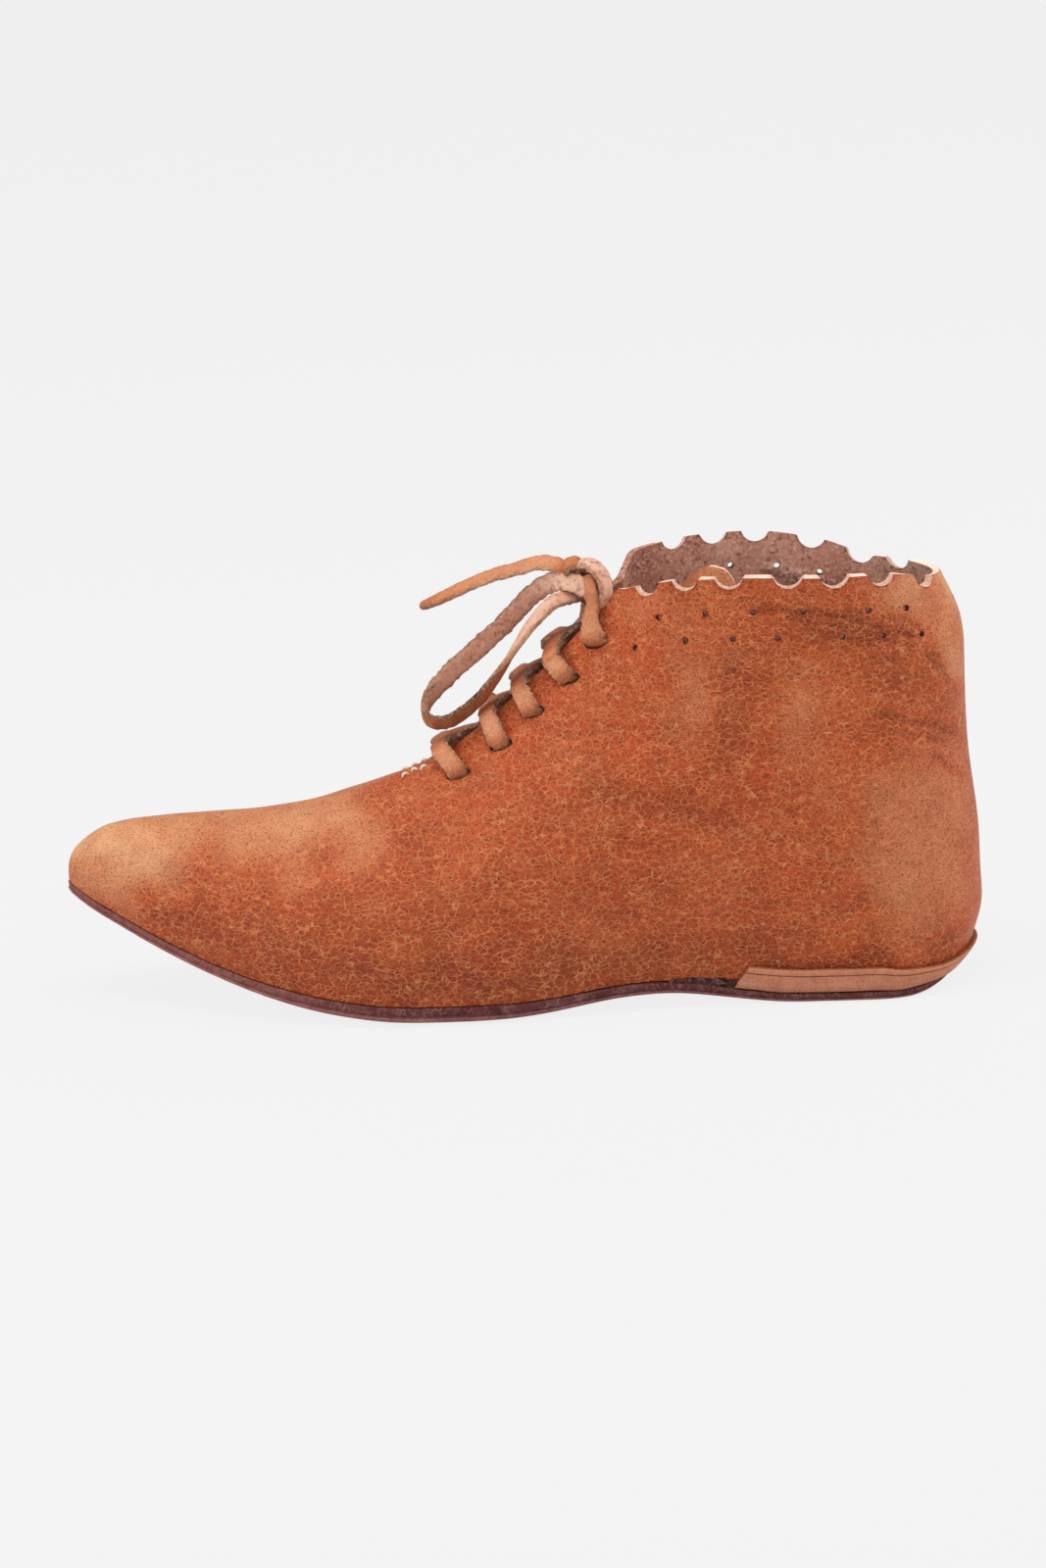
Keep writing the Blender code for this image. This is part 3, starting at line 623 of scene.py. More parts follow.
laceGrainSettings = dict(
    upperGrainSettings,
    base="#B4633B", second="#C4774E", dark="#8C4524", pale="#D38F68", pore="#884624", vein="#DAA07A",
    lightTone="#DC9E74", darkTone="#4E2413",
    poreShare=0.5, blotShare=0.5, cells=[(1.5, 0.2, 0.3, 0.3, 3.0, 0.4, 0.6)], stretch=(1.0, 1.0, 1.0),
    cloudMm=9.0, blotMm=3.5, paleMm=4.0, mottleMm=3.0, poreMm=0.8, roughness=0.48, bump=0.5,
    bumpMm=0.25,
)
bandGrainSettings = dict(
    laceGrainSettings,
    base="#BC7254", second="#C68062", dark="#98573C", pale="#C98B6C", pore="#985A3C", vein="#CF987A",
    lightTone="#D3A084", darkTone="#5A2214",
    cloudMm=22.0, roughness=0.55,
)
# its light tone is near white: a painted highlight on the tongue end's far edge
tongueGrainSettings = dict(upperGrainSettings, base="#A8643F", second="#B7754D", lightTone="#FFE6D2")
insoleGrainSettings = dict(
    laceGrainSettings,
    base="#8F5E42", second="#9C6B4C", dark="#75482F", pale="#A67656", vein="#AF8263",
    darkTone="#85563C",
    roughness=0.7, cloudMm=30.0,
)
soleGrainSettings = dict(
    laceGrainSettings,
    base="#562120", second="#6C3836", dark="#300E0E", pale="#96625C", pore="#3A1414", vein="#A67670",
    lightTone="#C0746A", darkTone="#330C0C",
    cells=[(2.4, 0.3, 0.4, 0.5, 4.0, 0.4, 0.6)], blotShare=0.8, cloudMm=14.0, blotMm=4.5, paleMm=5.0,
    poreMm=0.9, roughness=0.55, bump=0.8, bumpMm=0.5,
)
soleLipSettings = dict(
    soleGrainSettings,
    base="#7E4A49", second="#8E5A57", dark="#5E302F", pale="#A27370", pore="#683938", vein="#A97A75",
    bump=0.4,
)
fleshSettings = {
    "base": "#C9866E", "second": "#DFA28A", "dark": "#562820", "fleck": "#F4D0BA",
    "lightTone": "#D3AC97", "darkTone": "#6A3F36",
    "cloudMm": 11.0, "mottleMm": 5.0, "fibreMm": 1.1, "fleckShare": 0.95, "deepShare": 1.0,
    "sheen": 0.06, "bump": 0.8, "bumpMm": 0.5, "roughness": 0.95, "specular": 0.15,
    "sheenRough": 0.6,
}
laceFleshSettings = dict(
    fleshSettings,
    base="#CB8A70", second="#D99E84", dark="#743C2A", fleck="#F0CFB8", lightTone="#F0CDB4",
    darkTone="#844A38",
    fleckShare=0.6, deepShare=0.85, cloudMm=6.0, fibreMm=1.1,
)
# darker than a fresh cut edge: partly painted shade on the lace's sides
laceEdgeSettings = dict(
    laceFleshSettings,
    base="#B07C5C", second="#CB9878", dark="#5C301C", fleck="#F0D0B8", lightTone="#EBC3A2",
    darkTone="#4A2416",
    deepShare=0.4,
)
cutEdgeSettings = dict(
    fleshSettings,
    base="#E6BDA6", second="#EECDB9", dark="#C79478", fleck="#FBEDE2", lightTone="#F8E6D8",
    darkTone="#C4927A",
    cloudMm=5.0, fibreMm=0.9, deepShare=0.5, bump=0.4,
)
# the hole walls are darker than the other cut edges: painted shade inside the punched holes
holeEdgeSettings = dict(
    cutEdgeSettings,
    base="#84442A", second="#925034", dark="#5A2A18", fleck="#A06446", lightTone="#925034",
    darkTone="#6A3420",
)

upperGrain = addLeatherGrain("waxedUpperLeather", upperGrainSettings)
laceGrain = addLeatherGrain("laceThongGrain", laceGrainSettings)
bandGrain = addLeatherGrain("vegetableTannedBand", bandGrainSettings)
tongueGrain = addLeatherGrain("tongueLeather", tongueGrainSettings)
insoleGrain = addLeatherGrain("insoleLeather", insoleGrainSettings)
soleGrain = addLeatherGrain("darkWaxedSoleLeather", soleGrainSettings)
soleLip = addLeatherGrain("brownSoleLip", soleLipSettings)
upperFlesh = addSuede("upperFleshSide", fleshSettings)
laceFlesh = addSuede("laceFleshSide", laceFleshSettings)
laceEdge = addSuede("laceCutEdge", laceEdgeSettings)
cutEdge = addSuede("paleCutEdge", cutEdgeSettings)
holeEdge = addSuede("darkHoleEdge", holeEdgeSettings)


def addThread(name, code):
    # waxed linen thread: matt with a twist too fine to show at this size
    made, tree = newMaterial(name)
    fibre = addNoise(tree, addNode(tree, "TexCoord", None, "Object"), 0.4, 3.0, 0.0, 1.0, 0.5)[0]
    light = hexColour(code)
    dark = [c * 0.6 for c in light[:3]] + [1.0]
    colour = addNode(tree, "Mix", {6: light, 7: dark, 0: fibre}, 2, data_type="RGBA")
    addSurface(tree, {"Base Color": colour, "Roughness": 0.8})
    return made


creamThread = addThread("creamLinenThread", "#EADCC4")
darkThread = addThread("darkLinenThread", "#5A3024")
print("materials made")

# upper: one hollow leather body

upperSettings = {
    "collarColumns": 96,
    "slitColumns": 42,
    "vampColumns": 70,
    "lowRows": 40,
    "highRows": 58,
    "bites": {lateral: (101, 88, 73, 53, 37, 21, 6), medial: (90.5, 76, 61, 41, 24, 11)},  # stations
    "biteRadius": 4.4,
    "biteDepth": 3.5,
    "biteReach": 5.4,
    "biteSoft": 1.5,
    "rimSlant": 0.22,  # the cut edge leans outwards: mm down per mm of wall
    # station, setback in mm
    "laceHoles": [(161.5, 14.0), (148.0, 13.5), (137.5, 11.5), (126.5, 11.0), (117.4, 8.8)],
    "holeLong": 8.0,
    "holeShort": 4.0,
    "pinRadius": 0.95,
    "punch": {"bite": (16, 64), "hole": (9, 20), "pin": (9, 10)},  # depth in mm, corners
    "leanAbove": 100.0,  # mm, so that only the collar's rim leans
    "rawSlit": 12.0,  # mm behind the collar's front, from where the far flap's edge looks like suede
    "pinRows": [  # side, mm below the rim, stations
        (lateral, 11.2, (97, 81, 65, 48, 26, 14)),
        (lateral, 19.4, (105, 88, 72, 57, 35, 22, 11)),
        (medial, 11.0, (70, 53.5, 38.5, 22)),
        (medial, 18.5, (95, 79, 62, 46, 30, 14)),
    ],
    "unevenness": [(38.0, 0.55, 11), (17.0, 0.18, 12)],  # size and depth in mm, seed
    "creaseLip": (0.45, 1.9),  # raised beside a crease: share of its depth, distance in widths
    "creaseWander": (7.0, 0.5, 14),  # size and reach in mm, seed
    "calm": {"toe": 12, "sole": 0.12, "ridge": 0.15, "ridgeFrom": 8, "back": 6},  # it fades out there
    "creases": [  # (station, height) points, width and depth in mm, darkening, side; the darkening is painted shade in the fold together with wax gathered there
        ([(66, 127.0), (51, 125.4), (42, 123.6), (30, 119.6), (18, 115)], 1.1, 0.7, 0.65, lateral),
        ([(58, 124.0), (46, 121.6), (34, 118.4), (20, 112.6)], 1.0, 0.5, 0.5, lateral),
        ([(50, 119.4), (40, 117.0), (28, 113.6)], 1.0, 0.35, 0.35, lateral),
        ([(40, 125.2), (29, 122.4), (17, 118.4)], 1.1, 0.35, 0.4, lateral),
        ([(30, 92.0), (22, 88.6), (14, 86.8), (7, 82.5)], 1.4, 0.6, 0.6, lateral),
        ([(26, 86.0), (18, 84.0), (10, 81.0)], 1.3, 0.45, 0.5, lateral),
        ([(14, 108.0), (9, 102.0), (5, 95.0)], 1.6, 0.5, 0.4, lateral),
        ([(12, 76.0), (7, 71.0), (3, 68.0)], 1.3, 0.4, 0.4, lateral),
        ([(118, 69.7), (97, 64.7), (79, 59.4)], 5.0, 0.7, 0.5, lateral),
        ([(76, 108.0), (73, 92.0), (75, 78.0)], 5.5, 0.6, 0.35, lateral),
        ([(120, 66.0), (134, 56.0), (142, 44.0)], 6.0, 0.4, 0.15, lateral),
        ([(62, 126.5), (46, 122.0), (30, 117.0)], 1.3, 0.6, 0.6, medial),
        ([(54, 122.0), (40, 118.0), (26, 112.0)], 1.2, 0.4, 0.4, medial),
        ([(34, 90.0), (20, 86.0), (8, 81.0)], 1.4, 0.55, 0.5, medial),
        ([(100, 78.0), (86, 70.0), (74, 66.0)], 6.0, 0.6, 0.4, medial),
        ([(118, 62.0), (132, 52.0)], 6.0, 0.4, 0.2, medial),
    ],
    "tones": [  # (station, height), reach along and up in mm, amount, side or None; painted light and shade (lit toe top, toe tip and heel back, dark low along the sole, a shadow line above the band) mixed with the leather's own patches, such as the dark smudge on the toe's side
        ((246, 57), (46, 11), 0.58, None), ((279, 47), (17, 17), 0.82, None),
        ((206, 62), (24, 7), 0.46, None), ((203, 50), (14, 8), 0.2, lateral),
        ((254, 32), (13, 6), -0.55, lateral), ((228, 25), (26, 7), -0.25, None),
        ((176, 58), (12, 7), -0.2, lateral), ((146, 42), (15, 11), 0.05, lateral),
        ((86, 104), (8, 15), 0.3, None), ((55, 92), (7, 18), 0.26, None),
        ((74.5, 93), (6, 14), -0.3, None), ((40, 120), (26, 5), -0.35, None),
        ((22, 98), (17, 16), -0.3, None), ((15, 48), (16, 34), 0.42, None),
        ((6, 112), (7, 16), 0.6, None), ((12, 131), (16, 6), 0.75, None),
        ((104, 126), (10, 5), 0.25, lateral), ((114, 124), (12, 22), -0.8, medial),
        ((72, 20), (16, 5), -0.6, None), ((150, 12), (90, 9), -0.66, None),
        ((190, 28), (66, 18), -0.34, None), ((120, 40), (60, 18), -0.14, None),
        ((40, 13), (34, 3), -0.8, None),
    ],
    "drift": [(24.0, 6.0, 15), (18.0, 4.0, 16)],  # the tones wander: size and reach in mm, seed
}


def upperStations(s):
    collar = spreadStations(0, lastForm["collarFront"], s["collarColumns"], "start")
    slit = spreadStations(lastForm["collarFront"], lastForm["slitEnd"], s["slitColumns"], "even")
    vamp = spreadStations(lastForm["slitEnd"], featherLength, s["vampColumns"], "end")
    return np.concatenate([collar, slit[1:], vamp[1:]])


def distanceToLine(station, height, line):
    best = np.full(station.shape, 1e9)
    for (s0, h0), (s1, h1) in zip(line, line[1:]):
        run, rise = s1 - s0, h1 - h0
        t = np.clip(((station - s0) * run + (height - h0) * rise) / (run * run + rise * rise), 0, 1)
        best = np.minimum(best, np.hypot(station - s0 - t * run, height - h0 - t * rise))
    return best


def upperGrid(s):
    stations = upperStations(s)
    low, high = np.linspace(0, 0.5, s["lowRows"] + 1), np.linspace(0.5, 1, s["highRows"] + 1)
    t = np.concatenate([low, high[1:]])[:, None]
    near = upperPoint(stations[None, :], lateral, t)
    far = upperPoint(stations[None, ::-1][:, 1:], medial, t)
    points = np.concatenate([near, far], 1)
    side = np.concatenate([np.full(len(stations), lateral), np.full(len(stations) - 1, medial)])[None, :]
    station = np.concatenate([stations, stations[::-1][1:]])[None, :]
    # the way out of the surface
    wide = np.concatenate([points[:, -2:-1], points, points[:, 1:2]], 1)
    ahead = wide[:, 2:] - wide[:, :-2]
    up = np.gradient(points, axis=0)
    out = -unit(np.cross(ahead, up))
    # nothing moves along the joined edges: toe, ridge, back seam and sole
    calm = s["calm"]
    still = np.clip((featherLength - station) / calm["toe"], 0, 1) * np.clip(t / calm["sole"], 0, 1)
    onRidge = station >= lastForm["slitEnd"] - calm["ridgeFrom"]
    still = still * np.where(onRidge, np.clip((1 - t) / calm["ridge"], 0, 1), 1)
    still = still * np.clip(station / calm["back"], 0, 1)
    place = lastForm["length"] / 2 - lastForm["heelBulge"] - points[..., 0]
    move = np.zeros(points.shape[:2])
    for kind in s["unevenness"]:
        move += bumps(points, kind)
    tone = np.full(points.shape[:2], 0.5)
    wander = bumps(points, s["creaseWander"])
    lip, beside = s["creaseLip"]
    for line, width, depth, waxAndShade, which in s["creases"]:
        gap = (distanceToLine(place, points[..., 2], line) + wander) / width
        trough = np.exp(-(gap**2)) - lip * np.exp(-((gap - beside) ** 2))
        move -= trough * depth * (side == which)
        # painted shade in the crease, with the wax gathered in the fold
        tone -= 0.5 * waxAndShade * np.exp(-(gap**2)) * (side == which)
    atStation = place + bumps(points, s["drift"][0])
    atHeight = points[..., 2] + bumps(points, s["drift"][1])
    for (at, high), (reach, rise), amount, which in s["tones"]:
        blob = np.exp(-(((atStation - at) / reach) ** 2) - ((atHeight - high) / rise) ** 2)
        # painted light and shade, mixed with the leather's own patches
        tone += 0.5 * amount * blob * (1.0 if which is None else (side == which))
    return points + out * (move * still)[..., None], np.clip(tone, 0, 1)


def roundBite(cutter, rim, run, up, s):
    # the drum's lower half becomes a bite whose corners run softly out into the rim
    radius, depth, reach = s["biteRadius"], s["biteDepth"], s["biteReach"]
    places = corners(cutter) / mm - rim
    beside, above = places @ run, places @ up - (radius - depth)
    rest = places - beside[:, None] * run - (above + radius - depth)[:, None] * up
    low = above <= 1e-6
    beside = np.where(low, np.arctan2(beside, -above) / (np.pi / 2) * reach, beside)
    corner = math.sqrt(radius**2 - (radius - depth) ** 2)
    inside = np.sqrt(np.maximum(radius**2 - np.minimum(np.abs(beside), corner) ** 2, 0)) - (radius - depth)
    bite = inside - np.maximum(0, np.abs(beside) - corner) * corner / (radius - depth)
    floor = -(bite + np.sqrt(bite**2 + s["biteSoft"] ** 2)) / 2
    above = np.where(low, floor, above + radius)
    out = np.cross(run, up)
    outwards = rest @ (out if out[1] * rim[1] > 0 else -out)
    above = above - np.where(low, s["rimSlant"] * (outwards + lastForm["wall"] / 2), 0)
    moveCorners(cutter, rim + beside[:, None] * run + above[:, None] * up + rest)


def biteCutters(s):
    made, radius = [], s["biteRadius"]
    for side, stations in s["bites"].items():
        for station in stations:
            rim = topPoint(station, side)
            run = unit(topPoint(station + 0.5, side) - topPoint(station - 0.5, side))
            out = unit(np.array([run[1], -run[0], 0]))
            up = unit(np.cross(out, run))
            centre = rim + up * math.copysign(radius - s["biteDepth"], up[2])
            made.append(drum(centre, out, run, (radius, radius), *s["punch"]["bite"], cutEdge))
            roundBite(made[-1], rim, run, up * math.copysign(1, up[2]), s)
    return made


def holeCutters(s):
    sizes = {"hole": (s["holeLong"] / 2, s["holeShort"] / 2), "pin": (s["pinRadius"], s["pinRadius"])}
    holes = [("hole", side, *hole) for side in (lateral, medial) for hole in s["laceHoles"]]
    holes += [("pin", side, station, drop) for side, drop, stations in s["pinRows"] for station in stations]
    made = []
    for kind, side, station, drop in holes:
        centre, out = flapSpot(station, side, drop, 0)
        made.append(drum(centre, out, (1, 0, 0), sizes[kind], *s["punch"][kind], holeEdge))
    return made


def leanRim(upper, s):
    # the collar's outer corner drops, so its cut edge shows from outside
    faces = upper.data.polygons
    onEdge = {v for face in faces if face.material_index == 2 for v in face.vertices}
    onGrain = {v for face in faces if face.material_index == 0 for v in face.vertices}
    behind = spot(lastForm["collarFront"] - 1, 0, 0)[0] * mm
    for i in onEdge & onGrain:
        vertex = upper.data.vertices[i]
        if vertex.co.z > s["leanAbove"] * mm and vertex.co.x > behind:
            vertex.co.z -= s["rimSlant"] * lastForm["wall"] * mm
    upper.data.update()


def makeUpper(s):
    points, tone = upperGrid(s)
    upper = gridPiece("upperLeather", points, tone)
    addWall(upper, lastForm["wall"], -1, True, upperGrain, upperFlesh, cutEdge)
    leanRim(upper, s)
    farSlit = spot(lastForm["collarFront"] - s["rawSlit"], 0, 0)[0] * mm
    for face in upper.data.polygons:
        if face.material_index == 2 and face.center.y > 0 and face.center.x < farSlit:
            face.material_index = 1
    punch(upper, biteCutters(s))
    punch(upper, holeCutters(s))
    smoothShade(upper, 38)
    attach(upper, "root")
    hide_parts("upper")
    return upper


upperPiece = makeUpper(upperSettings)
print("upper made:", len(upperPiece.data.polygons), "faces")

# outsole: two leather layers with a groove between them

outsoleSettings = {
    "columns": 170,
    "side": [  # height share and inset in mm, from top to bottom
        (1.0, 0.45), (0.97, 0.2), (0.88, 0.0), (0.72, 0.0), (0.58, 0.05), (0.47, 0.1), (0.41, 0.45),
        (0.36, 0.6), (0.32, 0.3), (0.26, 0.0), (0.16, 0.0), (0.07, 0.15), (0.0, 0.7),
    ],
    "across": (0.9, 0.7, 0.45, 0.2, 0.0, -0.2, -0.45, -0.7, -0.9),
    "roughEdge": (3.5, 0.16, 21),  # size and depth in mm, seed
    "smoothRim": 0.15,  # share of that at the side's top and bottom
    "topRows": 7,  # rows of the side that belong to the thick upper layer
    "tones": [(0, 0.4), (150, 0.42), (225, 0.64), (290, 0.68)],  # station, tone: paler towards the toe
}


def makeOutsole(s):
    stations = spreadStations(0, featherLength, s["columns"], "both")

    def edge(side, height, inset):
        margin = along(soleTable, "margin", stations) - inset
        point = planPoint(stations, side) + planNormal(stations, side) * margin[:, None]
        point[:, 2] = soleHeight(stations, 1, height)
        rough = bumps(point, s["roughEdge"]) * min(1.0, 4 * height * (1 - height) + s["smoothRim"])
        return point + planNormal(stations, side) * rough[:, None]

    def across(share, level):
        height, inset = s["side"][0] if level else s["side"][-1]
        near, far = edge(lateral, height, inset), edge(medial, height, inset)
        point = near + (far - near) * (share + 1) / 2
        point[:, 2] = soleHeight(stations, share, level)
        return point

    ring = [across(-share, 1) for share in s["across"]]
    ring += [edge(medial, *step) for step in s["side"]]
    ring += [across(share, 0) for share in s["across"]]
    ring += [edge(lateral, *step) for step in reversed(s["side"])]
    ring.append(ring[0])
    points = np.array(ring)
    tone = np.interp(stations, *zip(*s["tones"]))
    outsole = gridPiece("outsoleLeather", points, np.tile(tone, (len(ring), 1)), merge=False)
    dress(outsole, soleGrain, soleLip)
    # the side's rows below its groove, and the tread, are the lower layer
    first, last = len(s["across"]) + s["topRows"], len(ring) - 1 - s["topRows"]
    paintRows(outsole, [first <= row < last for row in range(len(ring) - 1)], len(stations) - 1)
    closePiece(outsole, capEnds=False)
    smoothShade(outsole, 50)
    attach(outsole, "root")
    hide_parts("outsole")


makeOutsole(outsoleSettings)
print("outsole made")

# heel band: a strip round the heel, hugging the upper

bandSettings = {
    "columns": 150,
    "height": 7.6,
    "backHeight": 2.0,
    "backReach": 30.0,
    "tuck": 2.2,  # how far its lower edge turns in under the heel's back
    "tuckReach": 16.0,
    "tuckDrop": 0.6,  # and down, as a share of that
    "uneven": (16, 0.12, 31),  # size and depth in mm, seed
    # painted shade on the faces that lie against the upper
    "innerShade": 0.2,
    "thick": 2.4,
    "backThick": 0.65,
    "end": 72.0,
    "skive": 5.0,
    "tones": {0.735: 0.05, 0.96: 0.55, 1.0: 0.2, 0.05: 0.35, 0.0: 0.2},  # by height share: painted shade in the groove at 0.735 and on the top and bottom faces, a faint painted highlight just under the top edge
    "section": [  # height share, depth share
        (0.0, 0.0), (0.0, 0.5), (0.0, 0.85), (0.05, 1.0), (0.3, 1.03), (0.6, 1.03), (0.7, 1.02),
        (0.735, 0.88), (0.77, 1.0), (0.88, 1.0), (0.96, 0.88), (1.0, 0.6), (1.0, 0.25), (0.98, 0.0),
        (0.5, 0.0),
    ],
}


def makeHeelBand(s):
    turn = np.linspace(-1, 1, s["columns"] + 1)
    ring = []
    for height, depth in s["section"]:
        end = s["end"] + s["skive"] * (1 - height)
        stations = end * (1 - np.cos(turn * np.pi / 2))
        line = []
        for station, way in zip(stations, turn):
            side = lateral if way < 0 else medial
            full = s["backHeight"] + (s["height"] - s["backHeight"]) * min(1.0, station / s["backReach"])
            share = shareAtHeight(station, side, full * height)
            inner = upperPoint(station, side, share)
            tuck = s["tuck"] * (1 - height) ** 1.5 * max(0.0, 1 - station / s["tuckReach"])
            grown = min(1.0, station / s["tuckReach"])
            thick = s["thick"] * (s["backThick"] + (1 - s["backThick"]) * grown)
            point = inner + planNormal(station, side) * (lastForm["gap"] + thick * depth - tuck)
            line.append(point - np.array([0, 0, tuck * s["tuckDrop"]]))
        ring.append(np.array(line))
    ring.append(ring[0])
    points = np.array(ring)
    points[..., 2] += bumps(points, s["uneven"])
    dark, rows = s["innerShade"], s["section"]
    tones = [s["tones"].get(height, 0.5) if depth > 0.3 else dark for height, depth in rows]
    tones = np.array([*tones, dark])[:, None]
    band = gridPiece("heelBand", points, np.tile(tones, (1, points.shape[1])), capEnds=True)
    dress(band, bandGrain)
    smoothShade(band, 40)
    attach(band, "root")
    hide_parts("heel_band")


makeHeelBand(bandSettings)
print("heel band made")

# wax: dark lumps squeezed out along the sole in front of the band

waxSettings = {
    "lumps": [  # station, rise and radius in mm
        (74.5, 0.0, 1.5), (77.0, 0.9, 1.9), (79.6, 0.3, 1.6), (81.8, 1.1, 1.7), (84.2, 0.2, 1.8),
        (86.6, 0.8, 1.5), (88.8, 0.4, 1.7), (91.2, 0.5, 1.4), (93.6, 0.1, 1.3), (96.2, 0.1, 1.0),
    ],
    "flat": (1.7, 0.75, 1.0),
    "outwards": 0.5,
    "sunk": 0.6,
    "uneven": (2.6, 0.2, 91),  # size in mm, share of the radius, seed
}


def makeWax(s):
    bpy.ops.mesh.primitive_uv_sphere_add(segments=24, ring_count=14, radius=1, location=(0, 0, 0))
    first = bpy.context.object
    made = []
    for station, rise, radius in s["lumps"]:
        lump = first.copy()
        lump.data = first.data.copy()
        bpy.context.collection.objects.link(lump)
        foot, out = featherPoint(station, lateral), planNormal(station, lateral)
        centre = foot + out * s["outwards"] + np.array([0, 0, rise - s["sunk"]])
        places = corners(lump) * radius * np.array(s["flat"])
        moveCorners(lump, places * (1 + bumps(places + centre, s["uneven"]))[:, None] + centre)
        made.append(lump)
    bpy.data.objects.remove(first)
    wax = joinPieces(made, "soleWax")
    dress(wax, soleGrain)
    smoothShade(wax, 60)
    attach(wax, "root")


makeWax(waxSettings)
print("wax made")

# insole: the CAD sheet itself, with leather on it

insole = frame["nodes"]["insole"]
insole.data.materials.clear()
dress(insole, insoleGrain)

# tongue: a thin sheet under the slit, with a rounded end in the collar

tongueSettings = {
    "columns": 90,
    "across": 30,
    "thick": 1.8,
    "tone": 0.5,
    "highlightFrom": 0.93,  # the end's far edge gets a painted highlight
    "round": 0.32,
    "skew": -0.18,  # the end turns, its near edge further forward
    "tilt": 0.73,  # and lower
    "skewFrom": 108.0,
    "blunt": 0.04,  # share of its width that is left at the very end
    "uneven": (14, 0.25, 41),  # size and depth in mm, seed
    "route": {
        "station": (72.9, 76.7, 80.7, 84.7, 89.5, 106.5, 126.5, 146.5, 166.5, 184.5),
        "height": (124.5, 128.4, 128.7, 127.5, 124.0, 116.0, 100.6, 85.2, 72.2, 63.5),
        "half": (12.6, 12.6, 13.0, 13.5, 14.5, 13.0, 14.0, 15.0, 14.0, 10.0),
        "drop": (1.1, 1.3, 1.5, 1.7, 1.9, 9.0, 12.0, 10.0, 6.4, 2.4),
    },
}


def makeTongue(s):
    route = s["route"]
    share = np.linspace(0, 1, s["columns"] + 1)
    station = route["station"][-1] + (route["station"][0] - route["station"][-1]) * share
    middle = spot(station, along(outlineTable, "centre", station), along(route, "height", station))
    run = unit(np.gradient(middle, axis=0))
    out = np.cross(run, np.array([0.0, 1.0, 0.0]))
    full = along(route, "half", station)
    taper = quarterRound(share - (1 - s["round"]), s["round"])
    half = full * (s["blunt"] + (1 - s["blunt"]) * taper)
    rows = []
    for way in np.linspace(-1, 1, s["across"] + 1):
        drop = along(route, "drop", station) * (way * half / full) ** 2
        rows.append(middle + np.array([0, 1.0, 0]) * (way * half)[:, None] - out * drop[:, None])
    points = np.array(rows)
    turned = np.clip((s["skewFrom"] - station) / (s["skewFrom"] - route["station"][0]), 0, 1) ** 1.5
    aside = turned * (points[..., 1] - middle[:, 1])
    points[..., 0] -= s["skew"] * aside
    points[..., 2] += s["tilt"] * aside
    points += out[None] * bumps(points, s["uneven"])[..., None]
    tone = np.full(points.shape[:2], s["tone"])
    # a painted highlight on the end's far edge
    tone[-2:, share > s["highlightFrom"]] = 1.0
    tongue = gridPiece("tongueLeather", points, tone)
    addWall(tongue, s["thick"], 0, False, tongueGrain, upperFlesh, cutEdge)
    smoothShade(tongue, 40)
    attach(tongue, "root")
    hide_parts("tongue")


makeTongue(tongueSettings)
print("insole and tongue made")

# lace: a flat leather thong, grain outside and suede inside

laceSettings = {
    "width": 7.0,
    "thick": 2.3,
    "corner": 0.62,  # 1 gives an oval section, less a squarer one
    "around": 24,
    "smooth": 8,
    "nap": 0.13,  # its sides are uneven, as a share of its width
    "napMm": 1.7,
    "napShift": 2.3,
    "middleHighlight": 0.07,  # painted highlight along its middle, painted shade towards its sides, so it looks rounded
    "sideShade": 0.2,
    "thinBelow": 3.2,  # mm of width, under which it gets thinner too
    "edgeShare": 0.42,  # sine of the angle within which the cut edge shows
}


def smoothRows(rows, steps):
    rows = np.array(rows, float)
    padded = np.concatenate([2 * rows[:1] - rows[1:2], rows, 2 * rows[-1:] - rows[-2:-1]])
    finer = []
    for i in range(len(rows) - 1):
        a, b, c, d = padded[i : i + 4]
        second, third = 2 * a - 5 * b + 4 * c - d, 3 * b - a - 3 * c + d
        for t in np.arange(steps) / steps:
            finer.append(0.5 * (2 * b + (c - a) * t + second * t**2 + third * t**3))
    return np.array(finer + [rows[-1]])


def thong(name, rows, s, seed):
    # each row: middle line x, y, z in mm, the way the grain side faces, width in mm, tone
    fine = smoothRows(rows, s["smooth"])
    middle, face, width, tone = fine[:, :3], unit(fine[:, 3:6]), fine[:, 6], fine[:, 7]
    run = unit(np.gradient(middle, axis=0))
    across = unit(np.cross(run, face))
    face = unit(np.cross(across, run))
    thick = s["thick"] * np.minimum(1, width / s["thinBelow"])
    ring, kinds, tones = [], [], []
    for i in range(s["around"] + 1):
        angle = 2 * math.pi * (i % s["around"]) / s["around"]
        wide = math.copysign(abs(math.cos(angle)) ** s["corner"], math.cos(angle))
        high = math.copysign(abs(math.sin(angle)) ** s["corner"], math.sin(angle))
        strand = middle + (i % s["around"]) * s["napShift"]
        nap = 1 + bumps(strand, (s["napMm"], s["nap"], seed)) * abs(wide) ** 3
        point = middle + across * (wide * width / 2 * nap)[:, None]
        ring.append(point + face * (high * thick / 2)[:, None])
        onEdge = abs(math.sin(angle + math.pi / s["around"])) < s["edgeShare"]
        kinds.append(2 if onEdge else int(angle >= math.pi))
        # painted highlight along the middle, painted shade towards the sides
        tones.append(tone + s["middleHighlight"] - s["sideShade"] * abs(wide) ** 4)
    points = np.array(ring)
    piece = gridPiece(name, points, np.clip(tones, 0, 1), merge=False)
    dress(piece, laceGrain, laceFlesh, laceEdge)
    paintRows(piece, kinds[:-1], points.shape[1] - 1)
    closePiece(piece)
    smoothShade(piece, 60)
    return piece, middle


